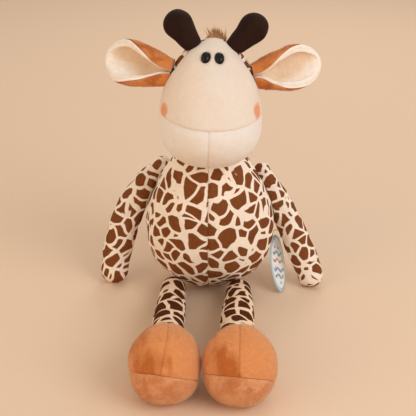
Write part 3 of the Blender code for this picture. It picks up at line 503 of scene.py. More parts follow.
def torso_point(height, bearing):
    """A point of the torso's surface; bearing 0 is its front and grows towards its left."""
    out, up = torso_outline()
    reach = np.interp(height, up, out)
    return np.array((reach * math.sin(bearing), torso_middle(height)
                     - reach * torso_depth_share(height) * math.cos(bearing), height))


def off_torso(height, bearing, distance):
    """A point that lies a distance straight out from the torso."""
    rising = torso_point(height + 0.002, bearing) - torso_point(height - 0.002, bearing)
    going = torso_point(height, bearing + 0.0175) - torso_point(height, bearing - 0.0175)
    normal = np.cross(going, rising)
    return torso_point(height, bearing) + normal / lengths(normal) * distance


def clear_of_torso(points, gap):
    """Points inside the torso move level out of it, to a gap from its surface."""
    out, up = torso_outline()
    height = points[..., 2]
    reach = np.interp(height, up, out) + gap
    depth = np.interp(height, up, out) * torso_depth_share(height) + gap
    aside = points[..., 0]
    ahead = points[..., 1] - torso_middle(np.maximum(height, 0.0))
    share = np.sqrt((aside / reach) ** 2 + (ahead / depth) ** 2)
    within = (share < 1) & (height < NECK_HEIGHT)
    push = np.where(within, 1 / np.maximum(share, 0.05) - 1, 0.0)
    moved = points.copy()
    moved[..., 0] += aside * push
    moved[..., 1] += ahead * push
    return moved


def make_torso():
    """The stuffed body.

    Each ring is an ellipse about the bent middle line. The front and back seams are grooves
    where x is 0, with short puckers across them, and small gathers run down from the neck.
    """
    sides = 280
    out, up = torso_outline()
    around = crowded(sides, 0.0)
    depth = out * torso_depth_share(up)
    middle = torso_middle(np.maximum(up, 0.0))
    rings = np.stack([
        out[1:-1, None] * np.sin(around), middle[1:-1, None] - depth[1:-1, None] * np.cos(around),
        np.broadcast_to(up[1:-1, None], (len(up) - 2, sides)),
    ], axis=-1)
    normals = grid_normals(rings)
    height = rings[..., 2]
    fade = np.clip(height / TORSO_FADE, 0.0, 1.0) * np.clip(
        (NECK_HEIGHT - height) / TORSO_FADE, 0.0, 1.0)
    groove = seam_groove(rings[..., 0], *TORSO_SEAM)
    # Painted shade along the crease of the front and back seams.
    seam = seam_shade(rings[..., 0])
    pucker = PUCKER_DEPTH * np.sin(
        height / PUCKER_PITCH * 2 * math.pi + 2 * lumps(rings, 0.03, 5))
    pucker *= np.exp(-(rings[..., 0] / PUCKER_REACH) ** 2)
    gather = GATHER_DEPTH * np.cos(around * GATHER_COUNT + 2 * lumps(rings, 0.06, 3))
    gather *= np.exp(-((height - GATHER_LEVEL) / GATHER_REACH) ** 2)
    uneven = 0.0006 * lumps(rings, 0.045, 1) + 0.0003 * lumps(rings, 0.018, 2)
    by_tag = np.exp(-(lengths(rings - np.array(TAG_HOLE))[..., 0] / TAG_HOLLOW_REACH) ** 4)
    uneven = uneven * (1 - by_tag) - TAG_HOLLOW_DEPTH * by_tag
    rings = rings + normals * ((uneven + gather + pucker - groove) * fade)[..., None]
    points, faces = skin(pressed_flat(rings), (0.0, middle[0], 0.0), (0.0, middle[-1], up[-1]))
    make_piece("torso_body", points, faces, body_print, "torso", ["torso"],
               marks={"seam": seam})


# ---------------------------------------------------------------- head


def head_out_share(level):
    """How wide the head is at a level, as a share of its widest: an egg of two powers."""
    above = level >= HEAD_WIDEST_SHARE
    span = np.where(above, 1 - HEAD_WIDEST_SHARE, HEAD_WIDEST_SHARE)
    power = np.where(above, CROWN_POWER, CHIN_POWER)
    away = np.clip(np.abs(level - HEAD_WIDEST_SHARE) / span, 0.0, 1.0)
    return (1 - away**power) ** (1 / power)


def head_matrix():
    """The head's own frame: its origin at the chin, +Z up its length, -Y to the front."""
    roll = Matrix.Rotation(HEAD_ROLL, 4, "Y")
    lean = Matrix.Rotation(-HEAD_LEAN, 4, "X")
    chin = Matrix.Translation((0.0, -HEAD_FORWARD, CHIN_LIFT))
    return Matrix.Translation(NECK) @ roll @ chin @ lean


def in_head(points, grow=0.0):
    """Whether points in the head's own frame are inside the egg, larger all round by grow."""
    level = (points[..., 2] + grow) / (HEAD_LENGTH + 2 * grow)
    out = head_out_share(level)
    share = ((points[..., 0] / (HEAD_WIDTH / 2 + grow)) ** 2
             + (points[..., 1] / (HEAD_DEPTH / 2 + grow)) ** 2)
    return (share < out**2) & (level > 0) & (level < 1)


def head_point(level, side_reach, back_share):
    """A point of the head in its own frame, from its level and how far aside or back it is."""
    out = float(head_out_share(np.array(level)))
    half_width, half_depth = HEAD_WIDTH / 2 * out, HEAD_DEPTH / 2 * out
    if side_reach is None:
        return Vector((half_width * math.sqrt(1 - back_share**2), half_depth * back_share,
                       HEAD_LENGTH * level))
    depth = half_depth * math.sqrt(1 - (side_reach / half_width) ** 2)
    return Vector((side_reach, -depth, HEAD_LENGTH * level))


def eye_point(sign):
    """Where an eye sits on the face, in the head's own frame."""
    return head_point(EYE_LEVEL_SHARE, sign * HEAD_WIDTH * EYE_SPACING_SHARE / 2, 0.0)


def head_normal(point):
    """The way out of the head at a point of its surface, in its own frame."""
    level = point.z / HEAD_LENGTH
    above = level >= HEAD_WIDEST_SHARE
    power = CROWN_POWER if above else CHIN_POWER
    span = HEAD_LENGTH * ((1 - HEAD_WIDEST_SHARE) if above else HEAD_WIDEST_SHARE)
    away = (point.z - HEAD_LENGTH * HEAD_WIDEST_SHARE) / span
    out = max(float(head_out_share(np.array(level))), FINEST_SHARE)
    slope = math.copysign(abs(away) ** (power - 1), away) / span * out ** (2 - power)
    return Vector((point.x / (HEAD_WIDTH / 2) ** 2, point.y / (HEAD_DEPTH / 2) ** 2,
                   slope)).normalized()


def reach_out(origin, ways, inside, furthest=FURTHEST):
    """How far each way runs from the origin before it leaves a rounded form, by halving."""
    low, _ = halved(np.zeros(ways.shape[:-1]), np.full(ways.shape[:-1], furthest),
                    lambda far: inside(origin + ways * far[..., None]))
    return low


def reach_ball(origin, ways, centre, radius, furthest=FURTHEST):
    """How far each way runs before it meets a ball, or furthest where it misses."""
    offset = origin - centre
    half = ways @ offset
    rest = half**2 - (offset @ offset - radius**2)
    meets = (rest > 0) & (half < 0)
    return np.where(meets, -half - np.sqrt(np.maximum(rest, 0.0)), furthest)


def ways_about(pole, angle, turn):
    """Unit ways at an angle from a pole and a turn about it."""
    pole = np.array(pole) / np.linalg.norm(pole)
    side = np.cross(pole, (0.0, 1.0, 0.0) if abs(pole[2]) > 0.7 else (0.0, 0.0, 1.0))
    side /= np.linalg.norm(side)
    other = np.cross(pole, side)
    round_it = np.cos(turn)[..., None] * side + np.sin(turn)[..., None] * other
    return np.cos(angle)[..., None] * pole + np.sin(angle)[..., None] * round_it


def seam_back(level):
    """How far back the face seam runs at a level, as a share of the half-depth."""
    backs, levels = np.array(FACE_SEAM_SHARES).T
    return smooth(np.stack([levels, backs], axis=1), level)


def behind_seam(points):
    """How far points of the head's own frame lie behind the face seam."""
    return points[..., 1] - HEAD_DEPTH / 2 * seam_back(points[..., 2] / HEAD_LENGTH)


def above_mouth(points):
    """How far points of the head's own frame lie above the mouth seam's plane."""
    ahead = points[..., 1] + HEAD_DEPTH / 2
    up = points[..., 2] - HEAD_LENGTH * MOUTH_HEIGHT_SHARE
    return math.cos(MOUTH_TILT) * up - math.sin(MOUTH_TILT) * ahead


# The middle that the head's panels fan out from, and the shallow brow under the eyes
HEAD_MIDDLE = np.array((0.0, 0.006, 0.0560))
BROW_HEIGHT = 0.1035


def head_panel(pole, belongs, rows, sides):
    """One sewn panel of the head.

    From the head's middle, ways fan out round the panel's pole up to the angle where they
    leave the panel. Each way ends on the egg or on the socket of the neck ball.
    """
    neck = np.array(head_matrix().inverted() @ Vector(NECK))
    turn = crowded(sides, math.pi / 2)

    def surface(angle, turns):
        ways = ways_about(pole, angle, turns)
        far = reach_out(HEAD_MIDDLE, ways, in_head)
        far = np.minimum(far, reach_ball(HEAD_MIDDLE, ways, neck, NECK_RADIUS + TURN_GAP))
        return HEAD_MIDDLE + ways * far[..., None]

    low, _ = halved(np.zeros(sides), np.full(sides, WIDEST_ANGLE),
                    lambda angle: belongs(surface(angle, turn)))
    share = np.linspace(0.0, 1.0, rows + 1)[1:]
    share = 1 - (1 - share) ** 1.25
    angle = share[:, None] * low[None, :]
    points = surface(angle, np.broadcast_to(turn, angle.shape))
    first = surface(np.zeros(1), np.zeros(1))[0]
    edge = lengths(points - points[-1:])[..., 0]
    return points, first, edge


def close_panel(points, first):
    """The panel's rings, drawn in along the seam to the middle of the head."""
    inner = [HEAD_MIDDLE + (points[-1] - HEAD_MIDDLE) * share for share in INNER_SHARES]
    return skin(np.concatenate([points, inner]), first, HEAD_MIDDLE)


def make_head():
    """Face, jaw and back of the head, with seam grooves, dimples for the eyes and puckers."""
    place = head_matrix()
    half_gap = SEAM_GAP / 2
    dimples = [np.array(eye_point(sign)) for _, sign in SIDES]
    panels = (
        ("face_panel", (0.0, -1.0, 0.35), face_velour, "face", 150, 340,
         lambda p: (behind_seam(p) < -half_gap) & (above_mouth(p) > half_gap)),
        ("jaw_panel", (0.0, -0.75, -0.72), jaw_velour, "jaw", 110, 340,
         lambda p: (behind_seam(p) < -half_gap) & (above_mouth(p) < -half_gap)),
        ("head_back_panel", (0.0, 0.9, 0.42), head_print, "head_back", 130, 300,
         lambda p: behind_seam(p) > half_gap),
    )
    for name, pole, material, node, rows, sides, belongs in panels:
        points, first, edge = head_panel(pole, belongs, rows, sides)
        out = points - HEAD_MIDDLE
        out = out / lengths(out)
        under = np.exp(-(above_mouth(points) / MOUTH_REACH) ** 2)
        sink = seam_groove(edge, *PANEL_SEAM) * (1 - 0.5 * under)
        # Painted shade along the panel's seam crease, fainter by the mouth.
        seam = seam_shade(edge, 0.0007) * (1 - 0.4 * under)
        sink -= 0.00018 * np.exp(-edge / 0.006) * lumps(points, 0.007, 11)
        sink -= 0.0004 * lumps(points, 0.04, 12) + 0.00012 * lumps(points, 0.015, 13)
        sink += MOUTH_SINKS[node] * under
        if node == "jaw":
            front = points[..., 1] < 0.0
            sink += front * seam_groove(points[..., 0], *CHIN_SEAM)
            seam = np.maximum(seam, front * seam_shade(points[..., 0], 0.0006))
        if node == "face":
            sink += BROW_DEPTH * np.exp(-((points[..., 2] - BROW_HEIGHT) / BROW_REACH) ** 2
                                        - (points[..., 0] / BROW_HALF_WIDTH) ** 4)
            for dimple in dimples:
                away = points - dimple
                share = np.sqrt((away[..., 0] / (EYE_WIDTH / 2)) ** 2
                                + (away[..., 2] / (EYE_HEIGHT / 2)) ** 2)
                sink += DIMPLE_DEPTH * np.exp(-(share / 1.05) ** 6) * (points[..., 1] < 0)
        points = points - out * sink[..., None]
        vertices, faces = close_panel(points, first)
        make_piece(name, in_place(place, vertices), faces, material, "head", [node],
                   marks={"seam": seam})


def make_eyes():
    """Two glossy oval buttons: an elliptical dome on a short straight edge."""
    rows, sides = 28, 64
    around = full_turn(sides)
    climb = np.linspace(0.0, math.pi / 2, rows)[:-1]
    level = np.concatenate([[-EYE_SINK, 0.0], EYE_BULGE * (EYE_EDGE_SHARE
                            + (1 - EYE_EDGE_SHARE) * np.sin(climb))])
    reach = np.concatenate([[0.97, 1.0], np.cos(climb)])
    rings = np.stack([
        reach[:, None] * EYE_WIDTH / 2 * np.cos(around),
        reach[:, None] * EYE_HEIGHT / 2 * np.sin(around),
        np.broadcast_to(level[:, None], (len(level), sides)),
    ], axis=-1)
    for name, sign in SIDES:
        point = eye_point(sign)
        outward = head_normal(point)
        side = Vector((0.0, 0.0, 1.0)).cross(outward).normalized()
        turn = Matrix((side, outward.cross(side), outward)).transposed().to_4x4()
        place = head_matrix() @ Matrix.Translation(point - outward * EYE_SINK) @ turn
        points, faces = skin(rings, (0.0, 0.0, level[0]), (0.0, 0.0, EYE_BULGE))
        make_piece(f"eye_{name}_button", in_place(place, points), faces, eye_gloss, "head",
                   [f"eye_{name}"])


def make_horns():
    """Two club horns: a profile turned round its axis, coped to the crown it is sewn to.

    The seam at the root is pulled in, and a seam runs up the back of each horn.
    """
    rows, sides, base_rows = 70, 96, 12
    place = np.array(head_matrix())
    around = full_turn(sides)
    for name, sign in SIDES:
        length = HORN_LENGTHS[name]
        knob = HORN_RADIUS_SHARES[-1][0] * length
        aside = sign * HEAD_WIDTH * HORN_ROOT_SPACING_SHARE / 2
        root = head_point(HORN_LEVEL_SHARE, aside, 0.0)
        root.y = HEAD_DEPTH / 2 * HORN_BACK_SHARE
        own = (Matrix.Translation(root) @ Matrix.Rotation(sign * HORN_SPREADS[name], 4, "Y")
               @ Matrix.Rotation(HORN_LEAN, 4, "X")
               @ Matrix.Translation((0.0, 0.0, -length * HORN_SINK_SHARE)))

        def radius(height):
            stem = smooth(HORN_RADIUS_SHARES, height / length) * HORN_KNOB_RADIUS
            away = np.clip((height - knob) / (length - knob), 0.0, 1.0)
            return np.where(height < knob, stem, HORN_KNOB_RADIUS * np.sqrt(1 - away**2))

        def surface(share, height):
            reach = share * radius(height)
            return np.stack([reach * np.cos(around), reach * np.sin(around), height], axis=-1)

        def start(share):
            _, high = halved(
                np.zeros((1, sides)), np.full((1, sides), length * HIDDEN_SHARE),
                lambda height: in_head(in_place(own, surface(share, height)), SEAM_GAP))
            return high

        base = [surface(share, start(share))[0]
                for share in np.linspace(0.0, 1.0, base_rows + 1)[1:-1]]
        first = start(1.0)
        part = np.sin(np.linspace(0.0, math.pi / 2, rows + 1)[:-1])[:, None]
        height = first + (length - first) * part
        wall = surface(1.0, height)
        normals = grid_normals(wall)
        sink = seam_groove(height - first, *HORN_ROOT_SEAM)
        sink = sink + seam_groove((around - math.pi / 2) * HORN_SEAM_RADIUS, *HORN_BACK_SEAM)
        sink = sink - 0.0004 * lumps(wall, 0.02, 21) * np.clip((height - first) / 0.01, 0, 1)
        by_tip = np.clip((length - height) / 0.002, 0, 1)
        wall = wall - normals * sink[..., None] * by_tip[..., None]
        rings = np.concatenate([np.array(base), wall])
        middle = surface(0.0, start(FINEST_SHARE))[0, 0]
        points, faces = skin(in_place(own, rings), *in_place(
            own, np.array([middle, (0.0, 0.0, length)])))
        make_piece(f"horn_{name}_club", in_place(place, points), faces, horn_velour, "head",
                   [f"horn_{name}"])


def ear_matrix(name, sign):
    """The ear's own frame in the head's frame, and the point that it is sewn at."""
    point = head_point(EAR_LEVEL_SHARE, None, EAR_BACK_SHARE)
    point.x *= sign
    point = point + head_normal(point) * SEAM_GAP
    lift = Matrix.Rotation(-sign * EAR_LIFTS[name], 4, "Y")
    sweep = Matrix.Rotation(sign * EAR_SWEEP, 4, "Z")
    reach = Matrix.Translation((-sign * EAR_HALF_HEIGHTS[name] * EAR_SINK_SHARE, 0.0, 0.0))
    return Matrix.Translation(point) @ lift @ sweep @ reach, point


# How wide the lining's puffy rim is above and below, how far it wraps over the fur's edge,
# and over how much of its edge it is rounded
EAR_RIM_SHARES = (0.30, 0.72)
EAR_RIM_BLEND = 0.0030
EAR_WRAP = 0.0022
EAR_RIM_ROUND = 0.0040
EAR_SEWN_SHARE = 0.28
EAR_TIP_SHARE = 0.75
EAR_TRIM_SHARE = 1.15
EAR_LEAST_RIM = 0.0030
EAR_PUFF_SHARE = 2.4


def make_ears():
    """Two ears, each a fur back and a pale lining folded round a hollow.

    A row at a share of the length bends up and down through its two fold angles: a point at
    angle a lies (r - offset) sin a up and r - (r - offset) cos a forward. Each column starts
    where it leaves the head, and the ear bends from there. The lining is stuffed into a round
    rim that wraps over the edge of the fur, and its hollow closes towards the head.
    """
    rows, columns = 110, 96
    place = head_matrix()
    across = np.sin(np.linspace(-math.pi / 2, math.pi / 2, columns))
    above, below = EAR_RIM_SHARES
    rim_share = below + (above - below) * eased(across, -0.75, 0.35)
    for name, sign in SIDES:
        own, root = ear_matrix(name, sign)
        sewn_to = ("head", place @ root,
                   place @ own @ Vector((sign * EAR_LENGTH * EAR_SEWN_SHARE, 0.0, 0.0)))

        def section(share):
            half = smooth(EAR_HEIGHT_SHARES, share) * EAR_HALF_HEIGHTS[name]
            upper, lower = (np.radians(smooth(list(zip(EAR_FOLD_SHARES, folds[name])), share))
                            for folds in (EAR_UPPER_FOLDS, EAR_LOWER_FOLDS))
            fold = np.where(across > 0, upper, lower)
            return fold, half / np.sin(np.minimum(fold, math.pi / 2))

        def inset(share):
            fold, radius = section(share)
            aside = (1 - np.abs(across)) * fold * radius
            ahead = (1 - share) * EAR_LENGTH * EAR_TIP_SHARE
            blend = -EAR_RIM_BLEND * np.log(np.exp(-aside / EAR_RIM_BLEND)
                                            + np.exp(-ahead / EAR_RIM_BLEND))
            least = np.minimum(aside, ahead)
            return least + (blend - least) * eased(least, 0.0, 2 * EAR_RIM_BLEND)

        def fur(offset):
            def surface(share):
                fold, radius = section(share)
                trim = EAR_WRAP * eased(share, 0.25, 0.45) * EAR_TRIM_SHARE / (fold * radius)
                length_share = 1 - EAR_WRAP * EAR_TRIM_SHARE / EAR_LENGTH
                return share * length_share, fold * (1 - trim), offset
            return surface

        def lining(side):
            def surface(share):
                fold, radius = section(share)
                edge = inset(share)
                wrapped = eased(share, 0.25, 0.45) * (1 - eased(edge, EAR_WRAP * 0.8, EAR_WRAP))
                outer = SEAM_GAP - (SEAM_GAP + EAR_BACK_THICKNESS) * wrapped
                rim = np.maximum(rim_share * fold * radius, EAR_LEAST_RIM)
                puff = EAR_PUFF_SHARE * EAR_RIM_THICKNESS * eased(share, 0.15, 0.45) * (
                    1 - eased(edge, rim * 0.50, rim * 1.1))
                puff = puff * np.minimum(radius / 0.012, 1)
                inner = SEAM_GAP + EAR_LINING_THICKNESS + puff
                inner = inner + 0.9 * (radius - inner) * (1 - eased(share, 0.06, 0.36))
                blunt = np.sqrt(1 - (1 - np.clip(edge / EAR_RIM_ROUND, 0.02, 1.0)) ** 2)
                middle = (outer + inner) / 2
                return share, fold, middle + ((outer, inner)[side] - middle) * blunt
            return surface

        def layer(share, surface):
            _, radius = section(share)
            reach, fold, offset = surface(share)
            angle = fold * across
            near = radius - offset
            return in_place(own, np.stack([
                sign * EAR_LENGTH * reach,
                -(radius - near * np.cos(angle)) * EAR_FOLD_DEPTH_SHARE,
                near * np.sin(angle)], axis=-1))

        def leaf(surface):
            _, high = halved(np.zeros((1, columns)), np.full((1, columns), HIDDEN_SHARE),
                             lambda share: in_head(layer(share, surface), SEAM_GAP))
            part = np.sin(np.linspace(0.0, math.pi / 2, rows))[:, None]
            share = high + (1 - high) * part
            return layer(share, surface), share

        for title, sides, finish in (
                ("back", (fur(-EAR_BACK_THICKNESS), fur(0.0)), ear_fur),
                ("lining", (lining(0), lining(1)), ear_lining)):
            first, share = leaf(sides[0])
            second, _ = leaf(sides[1])
            edge = inset(share)
            thick = second - first
            wave = 0.0005 * lumps(first, 0.022, 31) + 0.0001 * lumps(first, 0.008, 32)
            lift = eased(edge, 0.0, 0.010)[..., None] * wave[..., None]
            thick_way = thick / np.maximum(lengths(thick), 1e-9)
            if title == "lining":
                second = second + thick_way * lift
            else:
                first = first + thick_way * lift
            points = np.concatenate([first.reshape(-1, 3), second.reshape(-1, 3)])
            number = np.arange(rows * columns).reshape(rows, columns)
            sheet = np.stack([number[:-1, :-1], number[:-1, 1:], number[1:, 1:],
                              number[1:, :-1]], axis=-1).reshape(-1, 4)
            rim = np.concatenate([number[:, 0], number[-1, 1:], number[-2::-1, -1],
                                  number[0, -2:0:-1]])
            after = np.roll(rim, -1)
            count = rows * columns
            walls = np.stack([rim, after, after + count, rim + count], axis=-1)
            fold, radius = section(share)
            # How far into the hollow each point lies from the rim; the lining's finish turns it
            # tan with this, as painted shade.
            depth = (edge / np.maximum(rim_share * fold * radius, EAR_LEAST_RIM)).ravel()
            make_piece(f"ear_{name}_{title}", in_place(place, points),
                       [sheet, sheet[:, ::-1] + count, walls[:, ::-1]], finish,
                       f"ear_{name}", [f"ear_{title}_{name}"],
                       marks={"depth": np.append(depth, depth)}, sewn_to=sewn_to)
            if title == "back":
                comb = np.broadcast_to((float(sign), 0.0, -0.2), first.shape)
                grown = (edge > 0.002) & (share > 0.12)
                spikes, faces, _ = fibres(first[:, ::-1], grown[:, ::-1], comb, EAR_PILE_COUNT,
                                          PILE_LENGTH, 33)
                make_piece(f"ear_{name}_pile", in_place(place, spikes), faces, painted_light_ear_pile,
                           f"ear_{name}", sewn_to=sewn_to)


# ---------------------------------------------------------------- limbs


def limb(path, ways, radii, sides, across, cap_rows=14):
    """A stuffed tube carried along a path, with a round end at both ends."""
    dome = np.linspace(0.0, math.pi / 2, cap_rows + 2)[1:-1]
    centres = np.concatenate([
        path[0] - ways[0] * radii[0] * np.cos(dome)[:, None], path,
        path[-1] + ways[-1] * radii[-1] * np.cos(dome[::-1])[:, None]])
    along = np.concatenate([np.repeat(ways[:1], cap_rows, 0), ways,
                            np.repeat(ways[-1:], cap_rows, 0)])
    sizes = np.concatenate([radii[0] * np.sin(dome), radii, radii[-1] * np.sin(dome[::-1])])
    side = np.cross(across, along)
    side /= lengths(side)
    other = np.cross(along, side)
    around = full_turn(sides)[:, None]
    rings = centres[:, None] + sizes[:, None, None] * (
        np.cos(around) * side[:, None] + np.sin(around) * other[:, None])
    poles = path[0] - ways[0] * radii[0], path[-1] + ways[-1] * radii[-1]
    return rings, *poles


def limb_normals(rings):
    """The way out of a limb's rings, whichever way round they run."""
    normals = grid_normals(rings)
    ring = rings[LIMB_TEST_ROW]
    inward = np.sum(normals[LIMB_TEST_ROW] * (ring - ring.mean(axis=0))) < 0
    return -normals if inward else normals


def bent_path(start, middle, end, count):
    """Points and directions along a curve that is drawn towards its middle point."""
    part = np.linspace(0.0, 1.0, count)[:, None]
    start, middle, end = (np.array(point, dtype=float) for point in (start, middle, end))
    path = (1 - part) ** 2 * start + 2 * part * (1 - part) * middle + part**2 * end
    way = 2 * (1 - part) * (middle - start) + 2 * part * (end - middle)
    return path, way / lengths(way)


# A crease: where it is along the limb, its turn round it in degrees, its length and width
# as a share of the limb, and how deep it is
ARM_CREASES = {
    "left": ((0.30, 200.0, 1.1, 0.030, 0.0016), (0.62, 20.0, 1.2, 0.035, 0.0018),
             (0.47, 170.0, 0.9, 0.028, 0.0014)),
    "right": ((0.26, 10.0, 1.0, 0.030, 0.0014), (0.60, 180.0, 1.2, 0.035, 0.0018),
              (0.74, 150.0, 0.8, 0.026, 0.0012)),
}


def creases(along, around, table):
    """How far creases pull a limb in: each is a long shallow valley across the limb."""
    sink = 0.0
    for place, turn, length, width, depth in table:
        away = np.angle(np.exp(1j * (around - math.radians(turn))))
        bend = place + 0.02 * np.cos(away * 2)
        sink = sink + depth * np.exp(-((along - bend) / width) ** 2 - (away / length) ** 2)
    return sink


def make_arms():
    """Two arms that taper up to the shoulder, hands on the table, pressed to the body."""
    rows, sides, cap_rows = 130, 96, 14
    part = np.linspace(0.0, 1.0, rows)
    around = full_turn(sides)
    along = np.concatenate([np.zeros(cap_rows), part, np.ones(cap_rows)])[:, None]
    for name, sign in SIDES:
        root = off_torso(ARM_ROOT_HEIGHTS[name], sign * ARM_ROOT_BEARING,
                         ARM_ROOT_RADIUS + SEAM_GAP)
        radii = smooth(ARM_SHARES, part) * ARM_RADII[name]
        blend = np.clip(part / 0.11, 0.0, 1.0)
        radii = ARM_ROOT_RADIUS * (1 - blend) + radii * blend
        hand = np.array((sign * HAND_OUT[name], -HAND_FORWARD[name], radii[-1] - FLAT_DEPTH))
        middle = (root + hand) / 2 + np.array((sign, 0.0, 1.0)) * ARM_BOWS[name]
        path, ways = bent_path(root, middle, hand, rows)
        down = np.clip((part - 0.89) / 0.11, 0.0, 1.0)[:, None] / 2
        ways = ways * (1 - down) + np.array((0.0, 0.0, -1.0)) * down
        ways /= lengths(ways)
        rings, first, last = limb(path, ways, radii, sides, (0.0, 1.0, 0.0))
        normals = limb_normals(rings)
        sink = creases(along, around, ARM_CREASES[name])
        sink = sink + seam_groove((around - math.radians(270)) * ARM_SEAM_RADIUS, *ARM_SEAM)
        sink = sink - 0.0006 * lumps(rings, 0.028, 41) - 0.00025 * lumps(rings, 0.011, 42)
        rings = rings - normals * (sink * np.sin(math.pi * np.clip(
            along * 0.9 + 0.05, 0, 1)) ** 0.4)[..., None]
        rings = pressed_flat(clear_of_torso(rings, PRESS_GAP))
        points, faces = skin(rings, *clear_of_torso(np.array([first, last]), PRESS_GAP))
        make_piece(f"arm_{name}_limb", pressed_flat(points), faces, arm_print, f"arm_{name}",
                   [f"arm_{name}"])


def make_legs():
    """Two legs that widen from the hip to the ankle, with rings of slack above the foot."""
    rows, sides = 120, 96
    part = np.linspace(0.0, 1.0, rows)
    for name, sign in SIDES:
        start = np.array(HIP_PLACES[name])
        end = np.array((sign * ANKLE_OUT[name], -ANKLE_FORWARD, ANKLE_HEIGHT))
        radii = smooth(LEG_SHARES, part) * LEG_RADII[name]
        first_blend = np.clip(part / 0.14, 0.0, 1.0)
        last_blend = np.clip((1 - part) / 0.14, 0.0, 1.0)
        radii = HIP_RADIUS * (1 - first_blend) + radii * first_blend
        radii = ANKLE_RADII[name] * (1 - last_blend) + radii * last_blend
        path, ways = bent_path(start, (start + end) / 2, end, rows)
        rings, first, last = limb(path, ways, radii, sides, (0.0, 0.0, 1.0))
        normals = limb_normals(rings)
        along = (path[0][1] - rings[..., 1]) / (path[0][1] - path[-1][1])
        slack = 0.0006 * np.sin(along * 52 + 1.6 * lumps(rings, 0.03, 51))
        slack = slack * np.exp(-((along - 0.62) / 0.30) ** 2)
        uneven = 0.0005 * lumps(rings, 0.024, 52) + slack
        fade = np.clip(along / 0.12, 0.0, 1.0) * np.clip((0.80 - along) / 0.06, 0.0, 1.0)
        slim = 0.0005 * eased(along, 0.70, 0.78)
        rings = pressed_flat(rings + normals * (uneven * fade - slim)[..., None])
        points, faces = skin(rings, first, last)
        make_piece(f"leg_{name}_limb", pressed_flat(points), faces, leg_bands, f"leg_{name}",
                   [f"leg_{name}"])


# ---------------------------------------------------------------- feet


# How far the seam over each instep leans aside on its way down, and how steeply the sole's
# seam falls towards the giraffe's left
INSTEP_LEANS = {"left": 0.0, "right": -0.20}
SOLE_SLOPES = {"left": 0.075, "right": 0.095}


